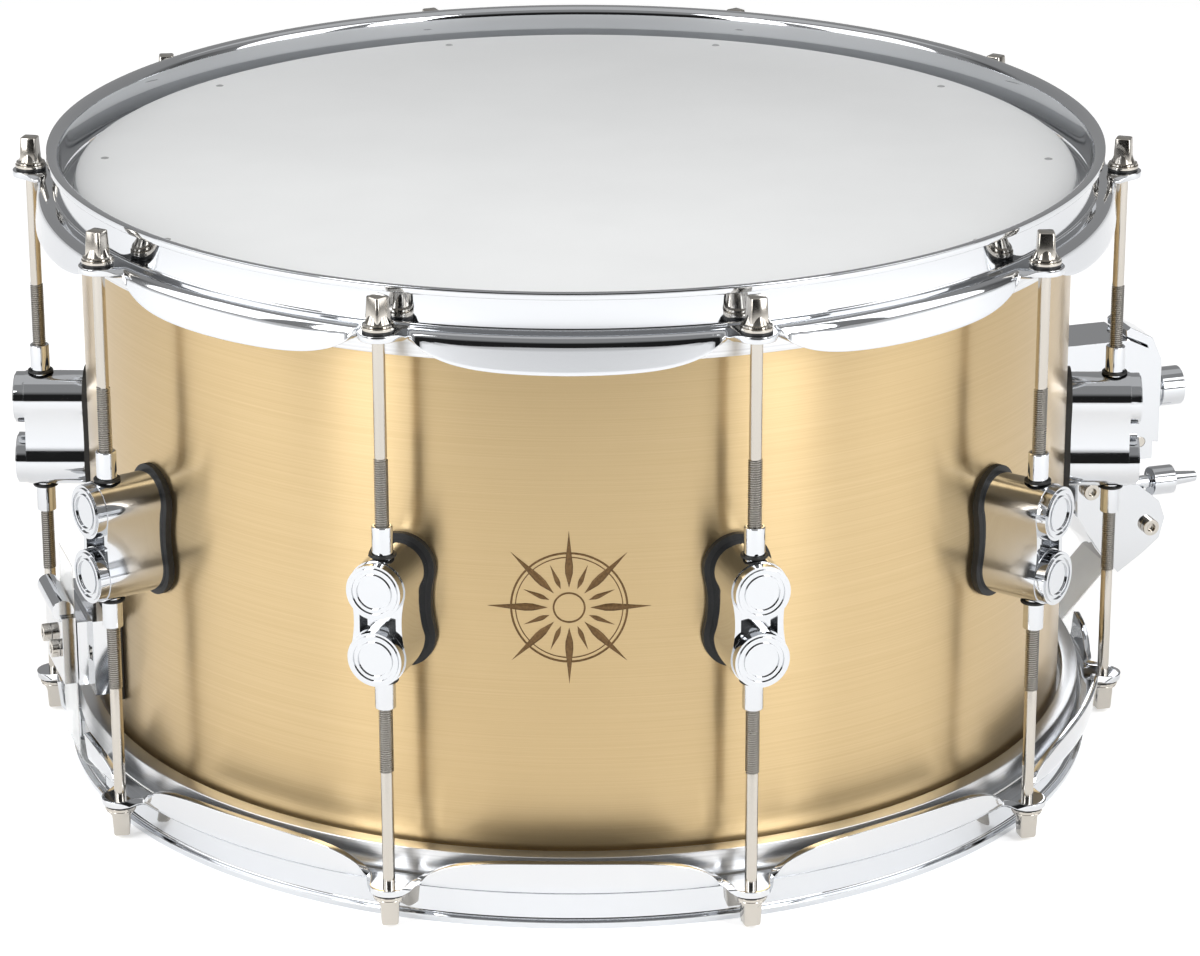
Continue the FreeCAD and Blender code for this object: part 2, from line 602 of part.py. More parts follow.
def pivot_bar(radius):
    start = vec(-STRAINER_HALF_WIDTH, -LEVER_PIVOT_R, LEVER_PIVOT_Z)
    return Part.makeCylinder(radius, 2 * STRAINER_HALF_WIDTH, start, vec(1, 0, 0))


def make_lever():
    """A plate that follows the housing's face and crown, with a hub and a finger knob."""
    inner = HOUSING_OUTER_R + SLIDE_GAP
    outer = inner + LEVER_PLATE
    top = STRAINER_TOP_Z
    low = LEVER_PIVOT_Z - 2.0
    high = LEVER_PIVOT_Z + LEVER_HUB_R
    plate = side_plate([
        (LEVER_PIVOT_R, high), (LEVER_PIVOT_R, LEVER_PIVOT_Z), (outer, low),
        (outer, top - 10.0), (outer - 4.0, top - 1.0), (outer - 13.4, top + 4.0),
        (inner - 11.6, top + 3.0), (inner - 11.4, top + 0.5), (inner - 2.8, top - 3.6),
        (inner, top - 10.8), (inner, high),
    ], -LEVER_HALF_WIDTH, LEVER_HALF_WIDTH)
    hub_start = vec(-LEVER_HALF_WIDTH, -LEVER_PIVOT_R, LEVER_PIVOT_Z)
    hub = Part.makeCylinder(LEVER_HUB_R, 2 * LEVER_HALF_WIDTH, hub_start, vec(1, 0, 0))
    knob = radial(LEVER_KNOB_R, outer - 1, LEVER_KNOB_OUTER_R, LEVER_KNOB_Z)
    waist = radial(LEVER_KNOB_R + 1, outer, outer + 2.0, LEVER_KNOB_Z)
    waist = waist.cut(radial(LEVER_KNOB_R - 1.6, outer - 1, outer + 3.0, LEVER_KNOB_Z))
    return fused([plate, hub, knob.cut(waist)]).cut(pivot_bar(PIVOT_PIN_R + RUNNING_CLEARANCE))


def make_carriage():
    """The sliding block that holds the strap, with a stem that runs up in the housing."""
    clamp = (STRAP_CLAMP_R, STRAP_CLAMP_Z)
    angle = STRAP_RISE_ANGLE
    top = HOUSING_BOTTOM_Z - 3.0
    half = CARRIAGE_HALF_WIDTH
    shoulder = [(STEM_INNER_R, top), (STEM_OUTER_R + 4.0, top), (HOUSING_OUTER_R + 2.0, top - 13.0)]
    face_end = on_line(clamp, angle, -CLAMP_LENGTH - 2.0, 0.0)
    core = side_plate(shoulder + [
        (HOUSING_OUTER_R + 3.5, top - 18.0), on_line(clamp, angle, 8.0, 0.0), face_end,
        (STEM_INNER_R + 9.0, top - 30.0), (STEM_INNER_R + 1.0, top - 16.0),
    ], -half + 2.0, half - 2.0)
    cheek = shoulder + [
        (HOUSING_OUTER_R + 4.5, top - 20.0), (HOUSING_OUTER_R + 2.5, top - 28.0),
        (HOUSING_OUTER_R - 4.0, top - 33.5), (face_end[0] + 2.6, face_end[1] - 2.0),
        (STEM_INNER_R + 9.5, top - 30.0), (STEM_INNER_R + 0.5, top - 16.0),
    ]
    stem = block(STEM_HALF_WIDTH, STEM_INNER_R, STEM_OUTER_R, top - 4, STEM_TOP_Z - 4.0)
    whole = fused([core, side_plate(cheek, half - 2.0, half), side_plate(cheek, -half, 2.0 - half), stem])
    bore = radial(KNOB_SHAFT_R + RUNNING_CLEARANCE, KNOB_SHAFT_INNER_R - 1, KNOB_INNER_R, KNOB_Z)
    holes = [key_screw_stem(place) for place in carriage_screw_places()]
    return whole.cut(group([bore] + holes))


def carriage_screw_places():
    """(seat, direction of the head) of the clamp screws, then of the side screws."""
    angle = STRAP_RISE_ANGLE
    lean = math.radians(angle)
    clamp = (STRAP_CLAMP_R, STRAP_CLAMP_Z)
    seat = on_line(clamp, angle, -CLAMP_LENGTH / 2, STRAP + CLAMP_PLATE)
    out = vec(0, -math.sin(lean), -math.cos(lean))
    places = [(vec(x, -seat[0], seat[1]), out) for x in (-7.0, 7.0)]
    upper = (STEM_INNER_R + 5.0, HOUSING_BOTTOM_Z - 8.5)
    lower = on_line(clamp, angle, 6.5, 0.0)
    for r, z in (upper, lower):
        for side in (-1, 1):
            places.append((vec(side * CARRIAGE_HALF_WIDTH, -r, z), vec(side, 0, 0)))
    return places


def butt_screw_places():
    outer = BUTT_STRAP_R + STRAP + BUTT_PLATE
    middle = (BUTT_BASE_Z + BUTT_TOP_Z) / 2
    return [(vec(x, -outer, middle), vec(0, -1, 0)) for x in (-8.0, 8.0)]


def key_screw_stem(place):
    seat, out = place
    length = 8.6
    return Part.makeCylinder(KEY_SCREW_R, length, seat - out * length, out)


def make_key_screw(place):
    """A square-headed screw with a round collar, worked by the drum key."""
    seat, out = place
    head = Part.makeCylinder(KEY_SCREW_HEAD_R, KEY_SCREW_HEAD, seat, out)
    socket = Part.makeCylinder(KEY_SCREW_R * 0.75, KEY_SCREW_HEAD, seat + out * 1.4, out)
    return fused([key_screw_stem(place), head]).cut(socket)


def make_carriage_clamp():
    clamp = (STRAP_CLAMP_R, STRAP_CLAMP_Z)
    angle = STRAP_RISE_ANGLE
    near, far = STRAP, STRAP + CLAMP_PLATE
    outline = [
        on_line(clamp, angle, -1.0, near), on_line(clamp, angle, -CLAMP_LENGTH - 1.0, near),
        on_line(clamp, angle, -CLAMP_LENGTH - 1.0, far), on_line(clamp, angle, -1.0, far),
    ]
    plate = side_plate(outline, -STRAP_HALF_WIDTH, STRAP_HALF_WIDTH)
    return plate.cut(group([key_screw_stem(place) for place in carriage_screw_places()[:2]]))


def make_tension_knob():
    """Fine adjustment: a plain shaft in the carriage, a grooved knob and a slim tip."""
    shaft = radial(KNOB_SHAFT_R, KNOB_SHAFT_INNER_R, KNOB_INNER_R, KNOB_Z)
    knob = radial(KNOB_R, KNOB_INNER_R, KNOB_OUTER_R, KNOB_Z)
    tip = Part.makeCone(KNOB_SHAFT_R + 0.4, KNOB_SHAFT_R - 0.5, KNOB_TIP_R - KNOB_OUTER_R,
                        vec(0, -KNOB_OUTER_R, KNOB_Z), vec(0, -1, 0))
    return fused([shaft, knob, tip])


# ---- butt plate ---------------------------------------------------------------------
def make_butt_gasket():
    pad = curved_gasket(BUTT_HALF_WIDTH + GASKET_LIP, BUTT_BASE_Z - GASKET_LIP, BUTT_TOP_Z + GASKET_LIP)
    return drill_case_screws(pad, BUTT_AZIMUTH, CASE_SCREW_HOLE_R)


def make_butt_body():
    foot = block(BUTT_HALF_WIDTH, CASTING_BACK_R - 8, CASTING_BACK_R + BUTT_FOOT, BUTT_BASE_Z, BUTT_TOP_Z)
    anvil = block(BUTT_BLOCK_HALF_WIDTH, CASTING_BACK_R + 1, BUTT_STRAP_R, BUTT_BASE_Z + 2, BUTT_TOP_Z - 2)
    body = fused([foot, anvil]).cut(upright(CASTING_BACK_R, 0, TOTAL_HEIGHT))
    body = body.cut(group([key_screw_stem(place) for place in butt_screw_places()]))
    return drill_case_screws(body, BUTT_AZIMUTH, CASE_SCREW_R)


def make_butt_clamp():
    """The plate that pinches the strap, with a round guide along its top edge."""
    near = BUTT_STRAP_R + STRAP
    plate = block(BUTT_BLOCK_HALF_WIDTH, near, near + BUTT_PLATE, BUTT_BASE_Z + 3, BUTT_TOP_Z)
    start = vec(-BUTT_BLOCK_HALF_WIDTH + 2, -near - 4.0, BUTT_TOP_Z + 2.0)
    guide = Part.makeCylinder(4.0, 2 * BUTT_BLOCK_HALF_WIDTH - 4, start, vec(1, 0, 0))
    stems = [key_screw_stem(place) for place in butt_screw_places()]
    return fused([plate, guide]).cut(group(stems))


def strap_slot(place, travel):
    """A hole for a clamp screw, drawn out upwards by the distance that the strap slips down."""
    seat, out = place
    round_ends = [key_screw_stem((seat + vec(0, 0, lift), out)) for lift in (0, travel)]
    if travel == 0:
        return round_ends[0]
    width = 2 * KEY_SCREW_R
    corner = seat + vec(-KEY_SCREW_R, 0, 0)
    return fused(round_ends + [Part.makeBox(width, width * 2, travel, corner)])


def make_strap(points, screws, travel=0):
    return strap_from(points).cut(group([strap_slot(place, travel) for place in screws]))


# ---- all the pieces -----------------------------------------------------------------
def make_pieces():
    flesh = make_flesh_hoop()
    film = make_film()
    steel = make_washer(TOTAL_HEIGHT - RIM_TO_STEP + BLACK_WASHER, STEEL_WASHER, WASHER_OUTER_R)
    black = make_washer(TOTAL_HEIGHT - RIM_TO_STEP, BLACK_WASHER, WASHER_OUTER_R - 0.2)
    pieces = {
        "shell": make_shell(),
        "vent_grommet": make_vent_grommet(),
        "case_screws": make_case_screws(),
        "batter_film": film,
        "batter_flesh_hoop": flesh,
        "snare_side_film": flipped(film),
        "snare_side_flesh_hoop": flipped(flesh),
        "batter_hoop": make_hoop(),
        "snare_side_hoop": make_snare_hoop(),
        "rod_steel_washers": group(both_heads(steel)),
        "rod_black_washers": group(both_heads(black)),
        "swivel_nuts": group(both_heads(make_swivel_nut())),
        "nut_o_rings": group(both_heads(make_nut_o_ring())),
        "lug_gaskets": group([turned(make_lug_gasket(), azimuth) for azimuth in LUG_AZIMUTHS]),
        "snare_wires": make_strands(),
        "snare_end_plates": make_end_plates(),
    }
    lug = make_lug()
    for i, azimuth in enumerate(LUG_AZIMUTHS):
        pieces[f"lug_{i + 1:02d}"] = turned(lug, azimuth)
    for i, rod in enumerate(both_heads(make_rod())):
        side = "batter" if i < TENSION_POINTS else "snare_side"
        pieces[f"{side}_rod_{i % TENSION_POINTS + 1:02d}"] = rod
    carriage_screws = carriage_screw_places()
    strainer = {
        "strainer_gasket": make_strainer_gasket(),
        "strainer_housing": make_housing(),
        "strainer_lever": make_lever(),
        "lever_pivot_pin": pivot_bar(PIVOT_PIN_R),
        "strainer_carriage": make_carriage(),
        "carriage_clamp": make_carriage_clamp(),
        "carriage_screws": group([make_key_screw(place) for place in carriage_screws]),
        "tension_knob": make_tension_knob(),
        "strainer_strap": make_strap(strainer_strap_points(), carriage_screws[:2]),
    }
    butt = {
        "butt_gasket": make_butt_gasket(),
        "butt_body": make_butt_body(),
        "butt_clamp": make_butt_clamp(),
        "butt_screws": group([make_key_screw(place) for place in butt_screw_places()]),
        "butt_strap": make_strap(butt_strap_points(), butt_screw_places(), STRAP_SLIP),
    }
    pieces.update({name: turned(shape, SNARE_AZIMUTH) for name, shape in strainer.items()})
    pieces.update({name: turned(shape, BUTT_AZIMUTH) for name, shape in butt.items()})
    return pieces


os.makedirs("parts", exist_ok=True)
for name, shape in make_pieces().items():
    for solid in shape.Solids:
        if not solid.isValid():
            raise SystemExit(f"{name} has an invalid solid")
    shape.exportStep(f"parts/{name}.step")
    print(f"{name:24s} solids {len(shape.Solids):3d}  volume {shape.Volume / 1000:9.2f} cm3")
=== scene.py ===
# %% [markdown]
# # A snare drum
# A snare drum is a short tube with a skin on each end. Two steel hoops pull the skins down,
# twenty rods pull the hoops towards each other, and ten lugs on the tube hold the rods. Under
# the lower skin lie the snare wires, which a lever on the side lifts against it.
# The lesson builds it from the outside in: first the measures, then the finishes, then one
# family of pieces after another. Every size comes from the frame that is loaded here.

# %% Load the frame
import bmesh
import bpy
import math
from mathutils import Matrix, Vector


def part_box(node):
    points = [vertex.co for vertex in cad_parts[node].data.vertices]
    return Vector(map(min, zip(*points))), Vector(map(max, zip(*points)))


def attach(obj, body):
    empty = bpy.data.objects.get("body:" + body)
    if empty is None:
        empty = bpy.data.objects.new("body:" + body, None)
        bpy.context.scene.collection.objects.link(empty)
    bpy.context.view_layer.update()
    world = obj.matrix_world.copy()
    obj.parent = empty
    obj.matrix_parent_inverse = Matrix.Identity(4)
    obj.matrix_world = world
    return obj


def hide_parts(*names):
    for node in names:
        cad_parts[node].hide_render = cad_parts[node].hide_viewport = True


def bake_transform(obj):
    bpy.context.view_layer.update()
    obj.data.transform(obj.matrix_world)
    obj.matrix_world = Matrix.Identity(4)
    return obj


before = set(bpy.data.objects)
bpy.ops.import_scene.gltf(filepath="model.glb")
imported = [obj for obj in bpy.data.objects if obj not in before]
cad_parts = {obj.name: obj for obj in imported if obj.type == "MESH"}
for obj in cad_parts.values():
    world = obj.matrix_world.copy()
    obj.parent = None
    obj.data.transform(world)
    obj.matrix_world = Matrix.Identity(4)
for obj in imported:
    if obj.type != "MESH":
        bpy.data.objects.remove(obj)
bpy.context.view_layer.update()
MM = 0.001

# %% [markdown]
# ## Measures
# A drum is laid out from its axis: a radius, a height and an azimuth place every piece. The
# radii and heights are read off the boxes of the frame's nodes, so nothing is typed twice.
# Azimuth 0 is the front, which faces -Y, and it grows towards +X.

# %% Radii, heights and azimuths
shell_low, shell_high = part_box("shell")
SHELL_R = shell_high.x
MIDDLE_Z = (shell_low.z + shell_high.z) / 2
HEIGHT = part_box("batter_hoop")[1].z
FILM_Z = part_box("batter_film")[1].z
FLESH_LOW, FLESH_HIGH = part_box("batter_flesh_hoop")
SNARE_AZIMUTH = 108.0


def place(azimuth, radius, height, aside=0.0):
    """A point from its azimuth in degrees, its radius, its height and a step sideways."""
    a = math.radians(azimuth)
    out = Vector((math.sin(a), -math.cos(a), 0.0))
    side = Vector((math.cos(a), math.sin(a), 0.0))
    return out * radius + side * aside + Vector((0.0, 0.0, height))


def azimuth_of(node):
    low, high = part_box(node)
    middle = (low + high) / 2
    return math.degrees(math.atan2(middle.x, -middle.y))


rod_low, rod_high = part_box("batter_rod_01")
ROD_R = ((rod_low + rod_high) / 2).xy.length
LUG_AZIMUTHS = [azimuth_of(f"batter_rod_{i:02d}") for i in range(1, 11)]
print("lug azimuths", [round(a, 3) for a in LUG_AZIMUTHS])
print(f"shell radius {SHELL_R / MM:.1f} mm, rods on {ROD_R / MM:.1f} mm,",
      f"height {HEIGHT / MM:.1f} mm")

# %% [markdown]
# ## Helpers
# Colours are written as the hex values a screen shows, and one function turns them to the
# linear values that a shader works in. One small function adds a node, with its settings and
# what feeds it, and every finish below is built from that.


# %% Colour, node and mesh helpers
def linear(hex_colour):
    parts = [int(hex_colour[i:i + 2], 16) / 255 for i in (1, 3, 5)]
    return [c / 12.92 if c <= 0.04045 else ((c + 0.055) / 1.055) ** 2.4 for c in parts] + [1.0]


def finish_named(name):
    """A new material, its node tree and its one shader, ready to be set."""
    material = bpy.data.materials.new(name)
    material.use_nodes = True
    shader = material.node_tree.nodes["Principled BSDF"]
    return material, material.node_tree, shader


def node(tree, kind, inputs=None, **settings):
    """Adds a node: settings are its properties, inputs are values or sockets to link from."""
    made = tree.nodes.new(kind)
    for key, value in settings.items():
        setattr(made, key, value)
    for key, value in (inputs or {}).items():
        socket = made.inputs[key]
        if isinstance(value, bpy.types.NodeSocket):
            tree.links.new(value, socket)
        else:
            socket.default_value = value
    return made


def ramp(tree, factor, stops):
    """A colour ramp from (position, hex colour) stops."""
    made = node(tree, "ShaderNodeValToRGB", {"Fac": factor})
    elements = made.color_ramp.elements
    while len(elements) < len(stops):
        elements.new(0.5)
    for element, (position, colour) in zip(elements, stops):
        element.position = position
        element.color = linear(colour)
    return made.outputs["Color"]


def object_from(mesh_data, name, finish, sharp_degrees=35.0):
    """Turns a bmesh into a smooth-shaded object whose place is in its mesh."""
    bmesh.ops.remove_doubles(mesh_data, verts=mesh_data.verts, dist=0.000002)
    bmesh.ops.recalc_face_normals(mesh_data, faces=mesh_data.faces)
    mesh = bpy.data.meshes.new(name)
    mesh_data.to_mesh(mesh)
    mesh_data.free()
    for polygon in mesh.polygons:
        polygon.use_smooth = True
    mesh.set_sharp_from_angle(angle=math.radians(sharp_degrees))
    mesh.materials.append(finish)
    piece = bpy.data.objects.new(name, mesh)
    bpy.context.scene.collection.objects.link(piece)
    return piece


def spin_outline(outline, steps, round_corners=0.0, closed=True):
    """Spins a (radius, height) outline, in metres, a full turn about an upright axis."""
    made = bmesh.new()
    verts = [made.verts.new((r, 0.0, z)) for r, z in outline]
    pairs = list(zip(verts, verts[1:] + verts[:1])) if closed else list(zip(verts, verts[1:]))
    for a, b in pairs:
        made.edges.new((a, b))
    if round_corners:
        corners = verts if closed else verts[1:-1]
        bmesh.ops.bevel(made, geom=corners, offset=round_corners, segments=3, profile=0.5,
                        affect="VERTICES", material=-1)
    bmesh.ops.spin(made, geom=made.verts[:] + made.edges[:], cent=(0, 0, 0), axis=(0, 0, 1),
                   angle=math.tau, steps=steps, use_merge=True)
    bmesh.ops.remove_doubles(made, verts=made.verts, dist=0.000001)
    return made


def add_all(target, source, matrix=None):
    """Copies one bmesh into another, moved by a matrix, so that repeats share one object."""
    bridge = bpy.data.meshes.new("bridge")
    source.to_mesh(bridge)
    if matrix is not None:
        bridge.transform(matrix)
    target.from_mesh(bridge)
    bpy.data.meshes.remove(bridge)


def turned_over():
    """The matrix that turns a batter-side piece over to the snare side."""
    lift = Matrix.Translation((0.0, 0.0, MIDDLE_Z))
    return lift @ Matrix.Rotation(math.pi, 4, "X") @ lift.inverted()


def around(azimuth):
    return Matrix.Rotation(math.radians(azimuth), 4, "Z")


print("helpers ready")

# %% [markdown]
# ## Finishes
# Each finish is named for the real one. A metal is told from a plastic by its metallic value
# of 1 and its tinted reflection; how it was worked shows in roughness and bump.
# The shell is bell bronze, a copper and tin alloy, turned and brushed round and round, then
# lacquered. Brushing leaves fine scratches that run along the circumference, so a light
# smears into an upright band. Noise stretched along the scratches and squeezed across them
# would do for a flat sheet; on a tube the scratch lines are simply thin in height, so the
# noise reads height far more finely than the direction round the tube.

# %% Brushed bell bronze
SCRATCH_MM = 0.45         # real scratches are finer; drawn as coarse as they need to show


def brushed_bronze():
    material, tree, shader = finish_named("brushed_bell_bronze")
    place_in = node(tree, "ShaderNodeTexCoord").outputs["Object"]
    rows = 1.0 / (SCRATCH_MM * MM)
    along = node(tree, "ShaderNodeMapping", {"Vector": place_in, "Scale": (6.0, 6.0, rows)})
    scratches = node(tree, "ShaderNodeTexNoise", {"Vector": along.outputs["Vector"], "Scale": 1.0,
                                                  "Detail": 4.0, "Roughness": 0.65})
    broad = node(tree, "ShaderNodeTexNoise", {"Vector": place_in, "Scale": 9.0, "Detail": 2.0})
    tone = ramp(tree, scratches.outputs["Fac"],
                [(0.25, "#B89F75"), (0.5, "#C2AA80"), (0.75, "#CCB58C")])
    cloud = ramp(tree, broad.outputs["Fac"], [(0.3, "#BCA379"), (0.7, "#C8B188")])
    both = node(tree, "ShaderNodeMix", {0: 0.35}, data_type="RGBA")
    tree.links.new(tone, both.inputs[6])
    tree.links.new(cloud, both.inputs[7])
    tree.links.new(both.outputs[2], shader.inputs["Base Color"])
    rough = node(tree, "ShaderNodeMapRange", {"Value": scratches.outputs["Fac"], "From Min": 0.2,
                                              "From Max": 0.8, "To Min": 0.27, "To Max": 0.34})
    tree.links.new(rough.outputs["Result"], shader.inputs["Roughness"])
    bump = node(tree, "ShaderNodeBump", {"Height": scratches.outputs["Fac"], "Strength": 0.12,
                                         "Distance": 0.01 * MM})
    tree.links.new(bump.outputs["Normal"], shader.inputs["Normal"])
    round_the_tube = node(tree, "ShaderNodeTangent", direction_type="RADIAL", axis="Z")
    tree.links.new(round_the_tube.outputs["Tangent"], shader.inputs["Tangent"])
    shader.inputs["Anisotropic"].default_value = 0.85
    shader.inputs["Anisotropic Rotation"].default_value = 0.25
    shader.inputs["Metallic"].default_value = 1.0
    shader.inputs["Coat Weight"].default_value = 0.12
    shader.inputs["Coat Roughness"].default_value = 0.08
    return material


BRONZE = brushed_bronze()
print("made", BRONZE.name)

# %% [markdown]
# Chrome plate is a mirror with hardly any colour of its own: the picture in it is the room
# and the bronze next to it. What tells it from a perfect mirror is a very faint waviness from
# polishing the steel or zinc below it, and a little haze. The hoops are rolled sheet, the
# lugs are castings buffed by hand, so the castings wave a little more.


# %% Chrome plate
def chrome(name, colour, wave_mm, depth_mm, roughness):
    material, tree, shader = finish_named(name)
    place_in = node(tree, "ShaderNodeTexCoord").outputs["Object"]
    waves = node(tree, "ShaderNodeTexNoise", {"Vector": place_in, "Scale": 1.0 / (wave_mm * MM),
                                              "Detail": 1.0})
    haze = node(tree, "ShaderNodeTexNoise", {"Vector": place_in, "Scale": 60.0, "Detail": 3.0})
    rough = node(tree, "ShaderNodeMapRange", {"Value": haze.outputs["Fac"], "From Min": 0.3,
                                              "From Max": 0.7, "To Min": roughness * 0.6,
                                              "To Max": roughness * 1.5})
    tree.links.new(rough.outputs["Result"], shader.inputs["Roughness"])
    bump = node(tree, "ShaderNodeBump", {"Height": waves.outputs["Fac"], "Strength": 0.3,
                                         "Distance": depth_mm * MM})
    tree.links.new(bump.outputs["Normal"], shader.inputs["Normal"])
    shader.inputs["Base Color"].default_value = linear(colour)
    shader.inputs["Metallic"].default_value = 1.0
    return material


HOOP_CHROME = chrome("chrome_on_rolled_steel", "#CFD1D4", 45.0, 0.05, 0.045)
CAST_CHROME = chrome("chrome_on_zinc_casting", "#CDCFD2", 14.0, 0.04, 0.055)
NICKEL = chrome("bright_nickel_on_steel", "#BDB8B0", 6.0, 0.02, 0.16)
DARK_STEEL = chrome("oiled_thread_steel", "#A9A6A1", 3.0, 0.02, 0.26)
SPRING_STEEL = chrome("spring_steel_wire", "#BDBCB8", 4.0, 0.01, 0.22)
print("made", HOOP_CHROME.name, CAST_CHROME.name, NICKEL.name)

# %% [markdown]
# The batter film is polyester sprayed with a white coating that gives brushes something to
# scratch on: matt and slightly grainy. Noise a little under a millimetre across gives the
# grit. The snare-side film is the same polyester left clear.


# %% Drumhead films, rubber, nylon, aluminium
GRIT_MM = 0.9             # coarser than real grit, so that it shows


def coated_film():
    material, tree, shader = finish_named("sprayed_white_coating")
    place_in = node(tree, "ShaderNodeTexCoord").outputs["Object"]
    grit = node(tree, "ShaderNodeTexNoise", {"Vector": place_in, "Scale": 1.0 / (GRIT_MM * MM),
                                             "Detail": 3.0})
    cloud = node(tree, "ShaderNodeTexNoise", {"Vector": place_in, "Scale": 14.0, "Detail": 3.0})
    tone = ramp(tree, cloud.outputs["Fac"], [(0.3, "#E2E3E3"), (0.7, "#E7E8E8")])
    tree.links.new(tone, shader.inputs["Base Color"])
    bump = node(tree, "ShaderNodeBump", {"Height": grit.outputs["Fac"], "Strength": 0.35,
                                         "Distance": 0.05 * MM})
    tree.links.new(bump.outputs["Normal"], shader.inputs["Normal"])
    rough = node(tree, "ShaderNodeMapRange", {"Value": grit.outputs["Fac"], "To Min": 0.5,
                                              "To Max": 0.75})
    tree.links.new(rough.outputs["Result"], shader.inputs["Roughness"])
    return material


def clear_polyester(name, tint, see_through):
    material, tree, shader = finish_named(name)
    place_in = node(tree, "ShaderNodeTexCoord").outputs["Object"]
    haze = node(tree, "ShaderNodeTexNoise", {"Vector": place_in, "Scale": 25.0, "Detail": 3.0})
    tone = ramp(tree, haze.outputs["Fac"], [(0.3, tint), (0.7, "#F4F6F7")])
    tree.links.new(tone, shader.inputs["Base Color"])
    rough = node(tree, "ShaderNodeMapRange", {"Value": haze.outputs["Fac"], "To Min": 0.06,
                                              "To Max": 0.22})
    tree.links.new(rough.outputs["Result"], shader.inputs["Roughness"])
    shader.inputs["IOR"].default_value = 1.57
    shader.inputs["Alpha"].default_value = see_through
    return material


def moulded(name, dark, light, grain_mm, roughness):
    """Rubber or nylon from a mould: near black, with a fine even grain."""
    material, tree, shader = finish_named(name)
    place_in = node(tree, "ShaderNodeTexCoord").outputs["Object"]
    grain = node(tree, "ShaderNodeTexNoise", {"Vector": place_in, "Scale": 1.0 / (grain_mm * MM),
                                              "Detail": 2.0})
    tone = ramp(tree, grain.outputs["Fac"], [(0.3, dark), (0.7, light)])
    tree.links.new(tone, shader.inputs["Base Color"])
    bump = node(tree, "ShaderNodeBump", {"Height": grain.outputs["Fac"], "Strength": 0.3,
                                         "Distance": 0.05 * MM})
    tree.links.new(bump.outputs["Normal"], shader.inputs["Normal"])
    shader.inputs["Roughness"].default_value = roughness
    return material


def mill_aluminium():
    material, tree, shader = finish_named("rolled_aluminium")
    place_in = node(tree, "ShaderNodeTexCoord").outputs["Object"]
    rows = node(tree, "ShaderNodeMapping", {"Vector": place_in, "Scale": (8.0, 8.0, 1600.0)})
    lines = node(tree, "ShaderNodeTexNoise", {"Vector": rows.outputs["Vector"], "Scale": 1.0})
    tone = ramp(tree, lines.outputs["Fac"], [(0.3, "#C9CACC"), (0.7, "#DFE0E1")])
    tree.links.new(tone, shader.inputs["Base Color"])
    shader.inputs["Metallic"].default_value = 1.0
    shader.inputs["Roughness"].default_value = 0.32
    return material


WHITE_COATING = coated_film()
CLEAR_FILM = clear_polyester("clear_polyester_film", "#E9EDEF", 0.35)
CLEAR_STRIP = clear_polyester("clear_polyester_strip", "#DDE0E1", 0.55)
RUBBER = moulded("black_rubber", "#0B0B0B", "#151515", 0.8, 0.55)
NYLON = moulded("black_nylon", "#101010", "#191919", 0.5, 0.4)
ALUMINIUM = mill_aluminium()
print("made", WHITE_COATING.name, CLEAR_FILM.name, RUBBER.name, ALUMINIUM.name)

# %% [markdown]
# ## The shell
# The shell is a tube with its ends turned to a bearing edge. Spinning an outline round the
# axis gives it in one step, and beveling the outline's corners first keeps every edge soft
# enough to catch a line of light.

# %% Shell
SHELL_WALL = 3 * MM
EDGE_CHAMFER = 0.6 * MM
inner_r = SHELL_R - SHELL_WALL
land_r = SHELL_R - EDGE_CHAMFER - 1.0 * MM
slope = land_r - inner_r
shell_outline = [
    (SHELL_R - EDGE_CHAMFER, shell_low.z), (SHELL_R, shell_low.z + EDGE_CHAMFER),
    (SHELL_R, shell_high.z - EDGE_CHAMFER), (SHELL_R - EDGE_CHAMFER, shell_high.z),
    (land_r, shell_high.z), (inner_r, shell_high.z - slope),
    (inner_r, shell_low.z + slope), (land_r, shell_low.z),
]
shell = object_from(spin_outline(shell_outline, 256, 0.15 * MM), "bronze_shell", BRONZE)
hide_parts("shell")
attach(shell, "drum")
print("shell:", len(shell.data.polygons), "faces")

# %% [markdown]
# ## The heads
# A drumhead is a film glued in an aluminium ring. The film rolls over the bearing edge and
# goes down to the ring, and that collar is what the eye sees as a soft rim of light.

# %% Heads and flesh hoops
FILM = 0.3 * MM
flesh_inner, flesh_outer = FLESH_HIGH.x - 5.7 * MM, FLESH_HIGH.x
film_under = FILM_Z - FILM


def head_outline():
    shoulder = SHELL_R + 0.35 * MM
    return [
        (0.0, film_under), (SHELL_R - EDGE_CHAMFER, film_under), (shoulder, film_under - 0.7 * MM),
        (flesh_inner - FILM, FLESH_HIGH.z), (flesh_inner - FILM, FLESH_LOW.z + 2 * MM),
        (flesh_inner, FLESH_LOW.z + 2 * MM), (flesh_inner, FLESH_HIGH.z),
        (shoulder + FILM, film_under - 0.4 * MM), (SHELL_R - EDGE_CHAMFER, FILM_Z), (0.0, FILM_Z),
    ]


def flesh_outline():
    low, high = FLESH_LOW.z, FLESH_HIGH.z
    groove = 1.2 * MM
    return [
        (flesh_inner, low), (flesh_outer, low), (flesh_outer, high), (flesh_outer - groove, high),
        (flesh_outer - groove, high - groove), (flesh_inner + groove, high - groove),
        (flesh_inner + groove, high), (flesh_inner, high),
    ]


def make_head(name, finish, cad_node, over):
    made = spin_outline(head_outline(), 256, closed=False)
    if over:
        bmesh.ops.transform(made, matrix=turned_over(), verts=made.verts)
    film = object_from(made, name, finish)
    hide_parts(cad_node)
    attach(film, "drum")
    return film


def make_flesh_hoop(name, cad_node, over):
    made = spin_outline(flesh_outline(), 256, 0.35 * MM)
    if over:
        bmesh.ops.transform(made, matrix=turned_over(), verts=made.verts)
    ring = object_from(made, name, ALUMINIUM)
    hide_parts(cad_node)
    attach(ring, "drum")
    return ring


